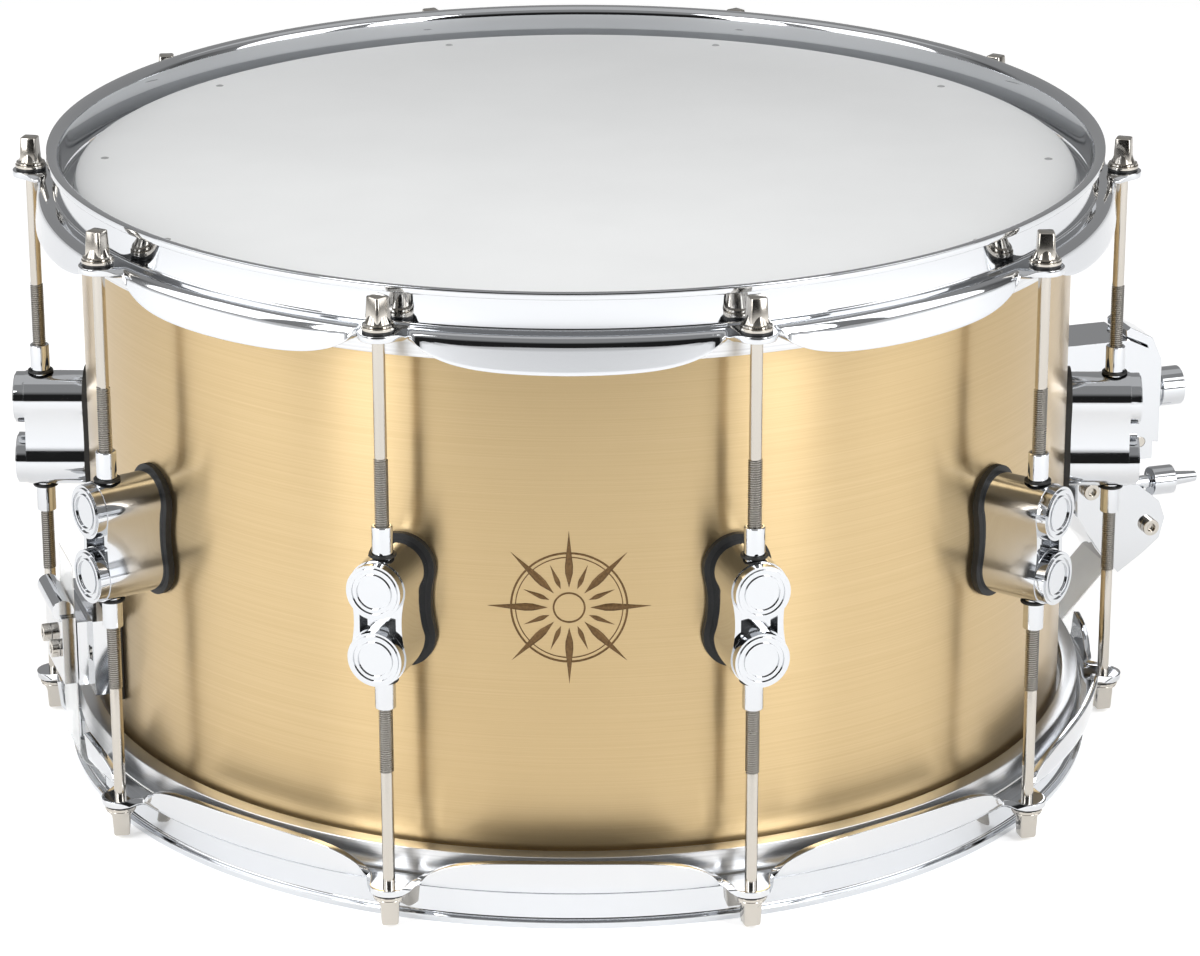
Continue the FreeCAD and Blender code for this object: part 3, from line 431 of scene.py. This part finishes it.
make_head("batter_head_film", WHITE_COATING, "batter_film", False)
make_head("snare_side_head_film", CLEAR_FILM, "snare_side_film", True)
make_flesh_hoop("batter_flesh_ring", "batter_flesh_hoop", False)
make_flesh_hoop("snare_side_flesh_ring", "snare_side_flesh_hoop", True)
print(f"film at {FILM_Z / MM:.1f} mm,",
      f"flesh hoops {flesh_inner / MM:.1f} to {flesh_outer / MM:.1f} mm")

# %% [markdown]
# Ten small vents sit in the batter film near its edge, one by each lug. Each looks like a
# dimple with a grey rim, so a small turned ring with a recessed floor does it.

# %% Film vents
VENT_RING_R = FLESH_HIGH.x - 16 * MM
VENT_FLOOR_Z = FILM_Z + 0.02 * MM


def make_film_vents():
    outline = [(0.0, VENT_FLOOR_Z), (0.7 * MM, VENT_FLOOR_Z), (0.8 * MM, FILM_Z + 0.16 * MM),
               (1.2 * MM, FILM_Z + 0.14 * MM), (1.5 * MM, FILM_Z)]
    dimple = spin_outline(outline, 20, 0.0, closed=False)
    made = bmesh.new()
    for azimuth in LUG_AZIMUTHS:
        add_all(made, dimple, around(azimuth) @ Matrix.Translation((0.0, -VENT_RING_R, 0.0)))
    dimple.free()
    vents = object_from(made, "film_vents", VENT_GREY)
    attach(vents, "drum")
    return vents


VENT_GREY = moulded("bare_polyester_edge", "#8F9090", "#A3A4A4", 0.6, 0.5)
make_film_vents()
print("10 vents at", round(VENT_RING_R / MM, 1), "mm")

# %% [markdown]
# ## The hoops
# A hoop is rolled from one strip of steel. From the rim it goes in, down the wall, out over
# the flesh hoop, and down again as a skirt; at each rod the press bends the skirt out flat
# into an ear instead. It could be cut from a solid, but then the ears look stuck on. Here
# the strip is spun flat, then its outer band is rolled down, with the angle of the roll
# eased to nothing at the ears: the same sheet makes skirt and ear, as in the press.

# %% Hoops
STEEL = 2.3 * MM
WALL_R = 183 * MM + STEEL / 2
RIM_R = 187.8 * MM
STEP_TOP = HEIGHT - 13.3 * MM
SKIRT_START_R = 188.2 * MM
EAR_R = 6.6 * MM
SKIRT_REACH = 13.1 * MM
SKIRT_ROWS = 10
BEND_R = 2.2 * MM
SKIRT_ANGLE = math.radians(84.0)
EAR_HALF = 6.0 * MM
EAR_FADE = 4.5 * MM           # over this length the ear's edge falls to the start of the skirt
SWEEP_START = 7.5 * MM
SWEEP_END = 13.0 * MM
SCALLOP_DEPTH = 11.3 * MM     # how much shorter the skirt is beside an ear than at mid span
SCALLOP_LENGTH = 11.0 * MM
GATE_HALF = 24 * MM
GATE_FLOOR = 3.0 * MM
HOOP_STEPS = 1080


def eased(value):
    t = min(max(value, 0.0), 1.0)
    return t * t * (3 - 2 * t)


def aside_from_rod(point):
    """How far a point is from the nearest rod, measured round the rod circle."""
    azimuth = math.degrees(math.atan2(point.x, -point.y))
    nearest = min(abs((azimuth - lug + 180) % 360 - 180) for lug in LUG_AZIMUTHS)
    return math.radians(nearest) * ROD_R


def reach_at(aside):
    """How wide the outer band is: a round ear at the rod, then a skirt that grows to mid span."""
    fade = math.exp(-max(aside - SWEEP_START, 0.0) / SCALLOP_LENGTH)
    skirt = SKIRT_REACH - SCALLOP_DEPTH * fade
    if aside < EAR_HALF:
        return ROD_R + math.sqrt(EAR_R ** 2 - aside ** 2) - SKIRT_START_R
    shoulder = ROD_R + math.sqrt(EAR_R ** 2 - EAR_HALF ** 2) - SKIRT_START_R
    return max(skirt, shoulder * (1.0 - (aside - EAR_HALF) / EAR_FADE))


def roll_skirt(made):
    """Bends the flat outer band down, except at the rods, where it stays flat as an ear."""
    for vert in made.verts:
        radius = vert.co.xy.length
        share = (radius - SKIRT_START_R) / SKIRT_REACH
        if share <= 0 or vert.co.z > STEP_TOP:
            continue
        aside = aside_from_rod(vert.co)
        past = share * reach_at(aside)
        angle = SKIRT_ANGLE * eased((aside - EAR_HALF) / (SWEEP_END - EAR_HALF))
        arc = BEND_R * angle
        if past < arc:
            step_out = BEND_R * math.sin(past / BEND_R)
            drop = BEND_R * (1 - math.cos(past / BEND_R))
        else:
            step_out = BEND_R * math.sin(angle) + (past - arc) * math.cos(angle)
            drop = BEND_R * (1 - math.cos(angle)) + (past - arc) * math.sin(angle)
        new_radius = SKIRT_START_R + step_out
        vert.co.x *= new_radius / radius
        vert.co.y *= new_radius / radius
        vert.co.z -= drop


def hoop_sheet():
    """The middle of the steel strip, before it is given its thickness."""
    rim_z, step_z = HEIGHT - STEEL / 2, STEP_TOP - STEEL / 2
    outline = [(RIM_R - 0.2 * MM, rim_z), (WALL_R, rim_z), (WALL_R, step_z),
               (SKIRT_START_R, step_z)]
    made = bmesh.new()
    verts = [made.verts.new((r, 0.0, z)) for r, z in outline]
    for a, b in zip(verts, verts[1:]):
        made.edges.new((a, b))
    bmesh.ops.bevel(made, geom=verts[1:3], offset=1.9 * MM, segments=4, profile=0.5,
                    affect="VERTICES", material=-1)
    last = max(made.verts, key=lambda v: v.co.x - v.co.z)
    for i in range(1, SKIRT_ROWS + 1):
        further = made.verts.new((SKIRT_START_R + SKIRT_REACH * i / SKIRT_ROWS, 0.0, step_z))
        made.edges.new((last, further))
        last = further
    bmesh.ops.spin(made, geom=made.verts[:] + made.edges[:], cent=(0, 0, 0), axis=(0, 0, 1),
                   angle=math.tau, steps=HOOP_STEPS, use_merge=True)
    bmesh.ops.remove_doubles(made, verts=made.verts, dist=0.000001)
    roll_skirt(made)
    return made


def cut_gates(made):
    """Opens the snare-side hoop's wall, step and skirt where each strap goes through."""
    doomed = []
    for face in made.faces:
        middle = face.calc_center_median()
        if middle.z < GATE_FLOOR:
            continue
        for azimuth in (SNARE_AZIMUTH, SNARE_AZIMUTH - 180):
            out, side = place(azimuth, 1, 0), place(azimuth, 0, 0, 1)
            if middle.dot(out) > 0 and abs(middle.dot(side)) < GATE_HALF:
                doomed.append(face)
    bmesh.ops.delete(made, geom=list(set(doomed)), context="FACES")


def thicken(piece, thickness, offset, edge=0.0):
    solid = piece.modifiers.new("thickness", "SOLIDIFY")
    solid.thickness = thickness
    solid.offset = offset
    solid.use_even_offset = True
    if edge:
        soft = piece.modifiers.new("soft edges", "BEVEL")
        soft.width = edge
        soft.segments = 2
        soft.limit_method = "ANGLE"
        soft.angle_limit = math.radians(55)
        soft.harden_normals = False


def make_hoop(name, cad_node, over):
    made = hoop_sheet()
    if over:
        bmesh.ops.transform(made, matrix=turned_over(), verts=made.verts)
        cut_gates(made)
    hoop = object_from(made, name, HOOP_CHROME)
    thicken(hoop, STEEL, 0.0, 0.5 * MM)
    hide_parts(cad_node)
    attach(hoop, "drum")
    return hoop


make_hoop("batter_steel_hoop", "batter_hoop", False)
make_hoop("snare_side_steel_hoop", "snare_side_hoop", True)
print(f"hoop rim {RIM_R / MM:.1f} mm, ears reach {(ROD_R + EAR_R) / MM:.1f} mm")

# %% [markdown]
# ## The ornament on the shell
# The front of the shell carries a dark mark burnt in by a laser. This one is a plain compass
# rosette of two rings, eight long darts and eight short ones. It is flat work laid on
# the tube: drawn on a plane, cut fine enough to bend, then wrapped round the shell.

# %% Rosette
ROSETTE_R = 27 * MM
ETCH_LIFT = 0.05 * MM


def ring_band(made, radius, width, steps=72):
    """A thin flat ring in the XZ plane."""
    circle = bmesh.ops.create_circle(made, cap_ends=False, radius=radius, segments=steps)["verts"]
    edges = {edge for vert in circle for edge in vert.link_edges}
    grown = bmesh.ops.extrude_edge_only(made, edges=list(edges))["geom"]
    verts = [g for g in grown if isinstance(g, bmesh.types.BMVert)]
    bmesh.ops.scale(made, vec=((radius - width) / radius,) * 2 + (1.0,), verts=verts)


def dart(made, inner, outer, half_width, angle, rows=8):
    """A long kite from one radius to another, cut across into short rows."""
    shape = bmesh.new()
    bmesh.ops.create_grid(shape, x_segments=2, y_segments=rows, size=0.5)
    for vert in shape.verts:
        share = vert.co.y + 0.5
        swell = min(share / 0.3, (1.0 - share) / 0.7)
        vert.co = Vector((vert.co.x * 2 * half_width * swell, inner + (outer - inner) * share, 0.0))
    add_all(made, shape, Matrix.Rotation(angle, 4, "Z"))
    shape.free()


def make_rosette():
    made = bmesh.new()
    ring_band(made, ROSETTE_R * 0.72, 0.7 * MM)
    ring_band(made, ROSETTE_R * 0.66, 0.35 * MM)
    ring_band(made, ROSETTE_R * 0.2, 0.6 * MM)
    for i in range(16):
        outer = ROSETTE_R if i % 2 == 0 else ROSETTE_R * 0.6
        width = 1.5 * MM if i % 2 == 0 else 0.9 * MM
        dart(made, ROSETTE_R * 0.26, outer, width, math.tau * i / 16)
    long_edges = [e for e in made.edges if e.calc_length() > 2.5 * MM]
    bmesh.ops.subdivide_edges(made, edges=long_edges, cuts=1)
    for vert in made.verts:
        azimuth = math.degrees(vert.co.x / SHELL_R)
        vert.co = place(azimuth, SHELL_R + ETCH_LIFT, MIDDLE_Z + vert.co.y)
    bmesh.ops.remove_doubles(made, verts=made.verts, dist=0.001 * MM)
    rosette = object_from(made, "shell_rosette", ETCHED)
    for polygon in rosette.data.polygons:
        if polygon.normal.y > 0:
            polygon.flip()
    thicken(rosette, 0.04 * MM, 1.0)
    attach(rosette, "drum")
    return rosette


def laser_etch():
    material, tree, shader = finish_named("laser_darkened_bronze")
    place_in = node(tree, "ShaderNodeTexCoord").outputs["Object"]
    burn = node(tree, "ShaderNodeTexNoise", {"Vector": place_in, "Scale": 1200.0, "Detail": 2.0})
    tone = ramp(tree, burn.outputs["Fac"], [(0.3, "#5A4226"), (0.7, "#6E5432")])
    tree.links.new(tone, shader.inputs["Base Color"])
    shader.inputs["Metallic"].default_value = 0.6
    shader.inputs["Roughness"].default_value = 0.5
    return material


ETCHED = laser_etch()
make_rosette()
print(f"rosette {2 * ROSETTE_R / MM:.0f} mm across")

# %% [markdown]
# ## The tension rods
# A drum rod is a long machine screw with a square head, worked by a drum key. Its thread is
# the fine 10-32 kind, 32 turns to the inch. A thread can be a bump in the material, but the
# edge of the rod would stay straight; here a small V is spun with a lift for each step,
# which is what a screw really is, and the outline shows its teeth.

# %% Rods
PITCH = 25.4 / 32 * MM
THREAD_R = 2.4 * MM
ROOT_R = 1.9 * MM
SHANK_R = 2.1 * MM
ROD_TOP = rod_high.z
ROD_END = rod_low.z
SEAT_Z = STEP_TOP + 2.0 * MM
THREAD_TOP = 166.1 * MM
KEY_SQUARE = 5.6 * MM
STEPS_PER_THREAD = 16
FLANGE_R = rod_high.x - (rod_low.x + rod_high.x) / 2


def helical_thread(low, high):
    """A V spun upwards with a fixed lift for each step, over a plain core."""
    turns = int((high - low) / PITCH)
    made = bmesh.new()
    tooth = [(ROOT_R, 0.0), (THREAD_R, PITCH * 0.45), (THREAD_R, PITCH * 0.6), (ROOT_R, PITCH)]
    verts = [made.verts.new((r, 0.0, low + z)) for r, z in tooth]
    edges = [made.edges.new(pair) for pair in zip(verts, verts[1:])]
    bmesh.ops.spin(made, geom=verts + edges, cent=(0, 0, 0), axis=(0, 0, 1),
                   dvec=(0, 0, PITCH / STEPS_PER_THREAD), angle=math.tau * turns,
                   steps=STEPS_PER_THREAD * turns)
    return made


def rod_mesh():
    """One rod standing on the drum's axis, to be moved out to its place."""
    made = helical_thread(ROD_END + 0.5 * MM, THREAD_TOP)
    shank = [(0.0, ROD_END), (ROOT_R - 0.3 * MM, ROD_END), (ROOT_R, ROD_END + 0.4 * MM),
             (ROOT_R, THREAD_TOP), (SHANK_R, THREAD_TOP + 0.6 * MM), (SHANK_R, SEAT_Z),
             (0.0, SEAT_Z)]
    add_all(made, spin_outline(shank, 24, 0.0, closed=False))
    head_low = SEAT_Z
    flange = [(0.0, head_low), (FLANGE_R - 0.2 * MM, head_low), (FLANGE_R, head_low + 0.35 * MM),
              (FLANGE_R - 0.1 * MM, head_low + 0.8 * MM),
              (FLANGE_R - 0.9 * MM, head_low + 1.1 * MM),
              (FLANGE_R - 1.5 * MM, head_low + 2.4 * MM), (2.9 * MM, head_low + 4.4 * MM),
              (0.0, head_low + 4.4 * MM)]
    add_all(made, spin_outline(flange, 32, 0.0, closed=False))
    square = bmesh.new()
    bmesh.ops.create_cube(square, size=1.0)
    tall = ROD_TOP - head_low - 1.0 * MM
    bmesh.ops.scale(square, vec=(KEY_SQUARE, KEY_SQUARE, tall), verts=square.verts)
    bmesh.ops.translate(square, vec=(0, 0, ROD_TOP - tall / 2), verts=square.verts)
    upright = [e for e in square.edges if abs(e.verts[0].co.z - e.verts[1].co.z) > MM]
    bmesh.ops.bevel(square, geom=upright, offset=0.9 * MM, segments=3, profile=0.5, affect="EDGES",
                    material=-1)
    top_z = ROD_TOP - 0.01 * MM
    crown = [e for e in square.edges if min(v.co.z for v in e.verts) > top_z]
    bmesh.ops.bevel(square, geom=crown, offset=0.5 * MM, segments=2, profile=0.5, affect="EDGES",
                    material=-1)
    for vert in square.verts:
        taper = 1.0 + 0.16 * (ROD_TOP - vert.co.z) / tall
        vert.co.x *= taper
        vert.co.y *= taper
    add_all(made, square)
    square.free()
    return made


def two_finishes(piece, second, low, high):
    """Gives the faces between two heights, off the shared axis, a second finish."""
    piece.data.materials.append(second)
    for polygon in piece.data.polygons:
        if low < polygon.center.z < high:
            polygon.material_index = 1


def make_rods():
    pattern = rod_mesh()
    for side, below in (("batter", False), ("snare_side", True)):
        for i, azimuth in enumerate(LUG_AZIMUTHS):
            name = f"{side}_rod_{i + 1:02d}"
            made = bmesh.new()
            matrix = Matrix.Translation((0.0, -ROD_R, 0.0)) @ around(37.0 * i)
            if below:
                matrix = around(180) @ turned_over() @ matrix
            add_all(made, pattern, around(azimuth) @ matrix)
            rod = object_from(made, f"{name}_steel", NICKEL, 40.0)
            low, high = ROD_END, THREAD_TOP
            if below:
                low, high = 2 * MIDDLE_Z - high, 2 * MIDDLE_Z - low
            two_finishes(rod, DARK_STEEL, low, high)
            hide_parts(name)
            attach(rod, name)
    pattern.free()


make_rods()
print(f"20 rods, {(ROD_TOP - ROD_END) / MM:.1f} mm long, pitch {PITCH / MM:.3f} mm")

# %% [markdown]
# Under each head a steel washer and a black nylon one keep the chrome from scoring, and
# where the rod enters the lug a swivel nut stands out of the turret with a soft ring at its
# foot. They are all plain turned rings, so one function spins and repeats them.


# %% Washers, swivel nuts and rings
def repeated_ring(name, outline, finish, cad_node, soft=0.12 * MM, steps=40):
    ring = spin_outline(outline, steps, soft)
    made = bmesh.new()
    for azimuth in LUG_AZIMUTHS:
        outwards = Matrix.Translation((0.0, -ROD_R, 0.0))
        add_all(made, ring, around(azimuth) @ outwards)
        add_all(made, ring, around(azimuth + 180) @ turned_over() @ outwards)
    ring.free()
    piece = object_from(made, name, finish)
    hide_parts(cad_node)
    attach(piece, "drum")
    return piece


def ring_outline(inner, outer, low, high):
    return [(inner, low), (outer, low), (outer, high), (inner, high)]


NUT_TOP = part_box("swivel_nuts")[1].z
TURRET_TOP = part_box("nut_o_rings")[1].z - 0.9 * MM
BORE_R = THREAD_R + 0.1 * MM
NUT_R = 3.5 * MM
NUT_LENGTH = 20 * MM
NYLON_TOP = STEP_TOP + 1 * MM
repeated_ring("key_rod_steel_washers", ring_outline(BORE_R, 5.5 * MM, NYLON_TOP, SEAT_Z),
              NICKEL, "rod_steel_washers")
repeated_ring("key_rod_nylon_washers", ring_outline(BORE_R, 5.3 * MM, STEP_TOP, NYLON_TOP),
              NYLON, "rod_black_washers")
repeated_ring("swivel_nut_tubes", [(BORE_R, NUT_TOP - NUT_LENGTH), (NUT_R, NUT_TOP - NUT_LENGTH),
                                   (NUT_R, NUT_TOP - 0.3 * MM), (3.2 * MM, NUT_TOP),
                                   (BORE_R, NUT_TOP)],
              CAST_CHROME, "swivel_nuts")
repeated_ring("soft_nut_rings",
              ring_outline(NUT_R, 4.6 * MM, TURRET_TOP, TURRET_TOP + 0.9 * MM),
              RUBBER, "nut_o_rings", 0.3 * MM)
print(f"nuts stand {(NUT_TOP - TURRET_TOP) / MM:.1f} mm out of the turrets")

# %% [markdown]
# ## The castings
# The lugs, the strainer and the butt plate are die-cast zinc under chrome. A casting has no
# sharp edge: the mould could not fill one, and the polisher's wheel takes off the rest. The
# frame holds their true shape with hard edges, so each is copied, the loose triangles are
# joined into whole faces, and a Bevel modifier rounds what is left as an edge.


# %% Rounded copies of the frame's nodes
def softened(cad_node, name, finish, width, segments=3, flat_degrees=0.6, body="drum"):
    made = bmesh.new()
    made.from_mesh(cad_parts[cad_node].data)
    bmesh.ops.remove_doubles(made, verts=made.verts, dist=0.01 * MM)
    bmesh.ops.dissolve_limit(made, angle_limit=math.radians(flat_degrees), verts=made.verts,
                             edges=made.edges)
    piece = object_from(made, name, finish, 30.0)
    soft = piece.modifiers.new("soft edges", "BEVEL")
    soft.width = width
    soft.segments = segments
    soft.limit_method = "ANGLE"
    soft.angle_limit = math.radians(32)
    soft.harden_normals = True
    soft.miter_outer = "MITER_ARC"
    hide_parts(cad_node)
    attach(piece, body)
    return piece


for number in range(1, 11):
    softened(f"lug_{number:02d}", f"cast_lug_{number:02d}", CAST_CHROME, 0.7 * MM)
softened("lug_gaskets", "rubber_lug_seats", RUBBER, 0.5 * MM)
softened("strainer_housing", "strainer_frame", CAST_CHROME, 0.8 * MM)
softened("strainer_gasket", "rubber_strainer_seat", RUBBER, 0.3 * MM)
softened("butt_body", "butt_casting", CAST_CHROME, 0.8 * MM)
softened("butt_gasket", "rubber_butt_seat", RUBBER, 0.3 * MM)
softened("butt_clamp", "butt_clamp_plate", CAST_CHROME, 0.6 * MM)
softened("strainer_lever", "throw_off_lever", CAST_CHROME, 0.7 * MM, body="lever")
softened("strainer_carriage", "strainer_slide", CAST_CHROME, 0.6 * MM,
         body="carriage")
softened("carriage_clamp", "slide_clamp_plate", CAST_CHROME, 0.6 * MM,
         body="carriage")
print("castings rounded")

# %% Small steel parts
softened("case_screws", "pan_head_screws", NICKEL, 0.3 * MM, 2)
softened("lever_pivot_pin", "lever_pin", NICKEL, 0.25 * MM, 2)
softened("carriage_screws", "slide_key_screws", NICKEL, 0.3 * MM, 2,
         body="carriage")
softened("butt_screws", "butt_key_screws", NICKEL, 0.3 * MM, 2)
softened("vent_grommet", "vent_eyelet", HOOP_CHROME, 0.3 * MM, 2)
softened("tension_knob", "snare_tension_knob", CAST_CHROME, 0.35 * MM, 2,
         body="knob")
softened("snare_end_plates", "solder_plates", SPRING_STEEL, 0.15 * MM, 2,
         body="snares")
print("screws, pin, knob and plates rounded")

# %% [markdown]
# ## The snares
# A snare wire is a steel wire wound into a long loose coil. Twenty of them lie side by side
# and are soldered to a plate at each end. One coil is a small section spun about the strand's
# own line with a lift for each step. There are thousands of turns, so the section has only
# four corners and the coil is drawn a little looser than it is wound.

# %% Snare wires
wires_low, wires_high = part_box("snare_wires")
STRANDS = 20
STRAND_PITCH = 2.1 * MM
STRAND_R = 0.95 * MM
WIRE_R = 0.24 * MM
STRAND_HALF = 146 * MM
COIL_PITCH = 2.5 * MM
STEPS_PER_TURN = 9
strand_z = (wires_low.z + wires_high.z) / 2


def one_strand():
    """A coil that lies along +X from one end of the strand to the other."""
    made = bmesh.new()
    bmesh.ops.create_circle(made, cap_ends=False, radius=WIRE_R, segments=4)
    bmesh.ops.translate(made, vec=(STRAND_R - WIRE_R, 0, 0), verts=made.verts)
    bmesh.ops.rotate(made, cent=(0, 0, 0), matrix=Matrix.Rotation(math.radians(90), 3, "X"),
                     verts=made.verts)
    turns = int(2 * STRAND_HALF / COIL_PITCH) - 1
    bmesh.ops.spin(made, geom=made.verts[:] + made.edges[:], cent=(0, 0, 0), axis=(0, 0, 1),
                   dvec=(0, 0, COIL_PITCH / STEPS_PER_TURN), angle=math.tau * turns,
                   steps=turns * STEPS_PER_TURN)
    length = turns * COIL_PITCH
    bmesh.ops.translate(made, vec=(0, 0, -length / 2), verts=made.verts)
    bmesh.ops.rotate(made, cent=(0, 0, 0), matrix=Matrix.Rotation(math.radians(90), 3, "Y"),
                     verts=made.verts)
    return made


def make_snares():
    strand = one_strand()
    made = bmesh.new()
    for i in range(STRANDS):
        aside = (i - (STRANDS - 1) / 2) * STRAND_PITCH
        turned = around(SNARE_AZIMUTH - 90) @ Matrix.Translation((0, aside, strand_z))
        add_all(made, strand, turned)
    strand.free()
    snares = object_from(made, "coiled_snare_wires", SPRING_STEEL, 60.0)
    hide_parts("snare_wires")
    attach(snares, "snares")
    return snares


snares = make_snares()
print("snare wires:", len(snares.data.polygons), "faces")

# %% [markdown]
# Clear plastic straps tie the end plates to the strainer and to the butt plate. The strainer's
# strap crosses a joint, so it has to bend as the slide drops: it is cut across every few
# millimetres.


# %% Straps
FIRST_CUT_MM = 126
CUT_SPACING_MM = 3
CUTS = 32


def strap_from_node(cad_node, name, azimuth):
    made = bmesh.new()
    made.from_mesh(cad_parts[cad_node].data)
    bmesh.ops.remove_doubles(made, verts=made.verts, dist=0.01 * MM)
    bmesh.ops.dissolve_limit(made, angle_limit=math.radians(0.6), verts=made.verts,
                             edges=made.edges)
    out = place(azimuth, 1, 0)
    for step in range(CUTS):
        reach = FIRST_CUT_MM + CUT_SPACING_MM * step
        bmesh.ops.bisect_plane(made, geom=made.verts[:] + made.edges[:] + made.faces[:],
                               plane_co=out * reach * MM, plane_no=out, dist=0.0001 * MM)
    strap = object_from(made, name, CLEAR_STRIP, 40.0)
    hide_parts(cad_node)
    return strap


strainer_strap = strap_from_node("strainer_strap", "clear_strainer_strap", SNARE_AZIMUTH)
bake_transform(strainer_strap)
butt_strap = strap_from_node("butt_strap", "clear_butt_strap", SNARE_AZIMUTH - 180)
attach(butt_strap, "snares")
print("straps:", len(strainer_strap.data.polygons), len(butt_strap.data.polygons), "faces")

# %% [markdown]
# ## Floor, light and camera
# The drum stands on a pale floor that is so wide that it has no edge in view. Chrome and
# bronze show what stands round them more than they show light, so the world is a studio: pale
# walls, a dark gap on the side the drum is seen from, and a bright ceiling. The gap gives the
# chrome its blacks; two strips and two softboxes give the bronze its upright bands.

# %% Floor
FLOOR_HALF = 6.0


def make_floor():
    material, tree, shader = finish_named("pale_studio_floor")
    place_in = node(tree, "ShaderNodeTexCoord").outputs["Object"]
    cloud = node(tree, "ShaderNodeTexNoise", {"Vector": place_in, "Scale": 3.0, "Detail": 2.0})
    tone = ramp(tree, cloud.outputs["Fac"], [(0.3, "#FAFAFA"), (0.7, "#FCFCFC")])
    tree.links.new(tone, shader.inputs["Base Color"])
    shader.inputs["Roughness"].default_value = 0.85
    shader.inputs["Emission Color"].default_value = (1.0, 1.0, 1.0, 1.0)
    shader.inputs["Emission Strength"].default_value = 0.38
    made = bmesh.new()
    bmesh.ops.create_grid(made, x_segments=1, y_segments=1, size=FLOOR_HALF)
    floor = object_from(made, "studio_floor", material)
    return floor


make_floor()
print("floor laid")


# %% World
def studio_world():
    """Pale walls with a dark gap on the camera's side, and a bright ceiling."""
    world = bpy.data.worlds.new("studio")
    bpy.context.scene.world = world
    world.use_nodes = True
    tree = world.node_tree
    tree.nodes.clear()
    look = node(tree, "ShaderNodeTexCoord").outputs["Generated"]
    split = node(tree, "ShaderNodeSeparateXYZ", {"Vector": look})
    towards = node(tree, "ShaderNodeMath", {0: split.outputs["Y"], 1: -1.0}, operation="MULTIPLY")
    turn = node(tree, "ShaderNodeMath", {0: split.outputs["X"], 1: towards.outputs["Value"]},
                operation="ARCTAN2")
    share = node(tree, "ShaderNodeMapRange", {"Value": turn.outputs["Value"], "From Min": -math.pi,
                                              "From Max": math.pi})
    walls = node(tree, "ShaderNodeValToRGB", {"Fac": share.outputs["Result"]})
    stops = [(0.0, 1.0), (0.16, 0.95), (0.19, 0.25), (0.22, 0.9), (0.37, 0.85), (0.39, 0.06),
             (0.60, 0.05), (0.62, 0.8), (0.74, 0.75), (0.79, 0.3), (0.83, 0.95), (1.0, 1.0)]
    elements = walls.color_ramp.elements
    while len(elements) < len(stops):
        elements.new(0.5)
    for element, (position, grey) in zip(elements, stops):
        element.position = position
        element.color = (grey, grey, grey, 1.0)
    ceiling = node(tree, "ShaderNodeMapRange", {"Value": split.outputs["Z"], "From Min": 0.42,
                                                "From Max": 0.62})
    lit = node(tree, "ShaderNodeMix", {0: ceiling.outputs["Result"]}, data_type="RGBA")
    tree.links.new(walls.outputs["Color"], lit.inputs[6])
    lit.inputs[7].default_value = (1.0, 1.0, 1.0, 1.0)
    background = node(tree, "ShaderNodeBackground", {"Color": lit.outputs[2], "Strength": 0.34})
    output = node(tree, "ShaderNodeOutputWorld")
    tree.links.new(background.outputs["Background"], output.inputs["Surface"])
    return world


studio_world()
print("world lit")


# %% Lights
def soft_light(name, width, height, power, azimuth, distance, above):
    """A tall soft panel at an azimuth, turned to the drum; only reflections see it."""
    data = bpy.data.lights.new(name, "AREA")
    data.shape = "RECTANGLE"
    data.size, data.size_y = width, height
    data.energy = power
    lamp = bpy.data.objects.new(name, data)
    at = place(azimuth, distance, above)
    lamp.location = at
    lamp.rotation_euler = (Vector((0, 0, MIDDLE_Z)) - at).to_track_quat("-Z", "Y").to_euler()
    lamp.visible_camera = False
    bpy.context.scene.collection.objects.link(lamp)
    return lamp


soft_light("left_strip", 0.5, 1.6, 16.0, -44, 1.7, 1.0)
soft_light("right_strip", 0.5, 1.6, 16.5, 45, 1.7, 1.0)
soft_light("left_softbox", 1.1, 1.6, 13.0, -78, 1.7, 1.0)
soft_light("right_softbox", 0.9, 1.6, 10.0, 76, 1.7, 1.0)
soft_light("overhead_softbox", 2.2, 2.2, 4.5, 180, 0.4, 2.1)
bpy.context.scene.view_settings.view_transform = "Standard"
print("five soft lights")

# %% [markdown]
# The camera looks down on the drum by about twenty degrees from well over a metre away, with
# a long lens, so that the hoops stay close to true ellipses.


# %% Camera
def make_camera():
    data = bpy.data.cameras.new("camera")
    data.lens = 133.79
    data.sensor_width = 36.0
    data.sensor_fit = "HORIZONTAL"
    camera = bpy.data.objects.new("camera", data)
    side_step, yaw, pitch, roll = math.radians(0.927), 0.0054, 0.3507, -0.002
    level = math.cos(pitch)
    aim = Vector((math.sin(yaw) * level, math.cos(yaw) * level, -math.sin(pitch)))
    turn = Matrix.Rotation(side_step, 3, "Z")
    camera.location = turn @ Vector((0.0, -1.5339, 0.6528))
    look = (turn @ aim).to_track_quat("-Z", "Y").to_matrix()
    camera.rotation_euler = (look @ Matrix.Rotation(roll, 3, "Z")).to_euler()
    bpy.context.scene.collection.objects.link(camera)
    bpy.context.scene.camera = camera
    return camera


camera = make_camera()
print("camera at", [round(v, 3) for v in camera.location])
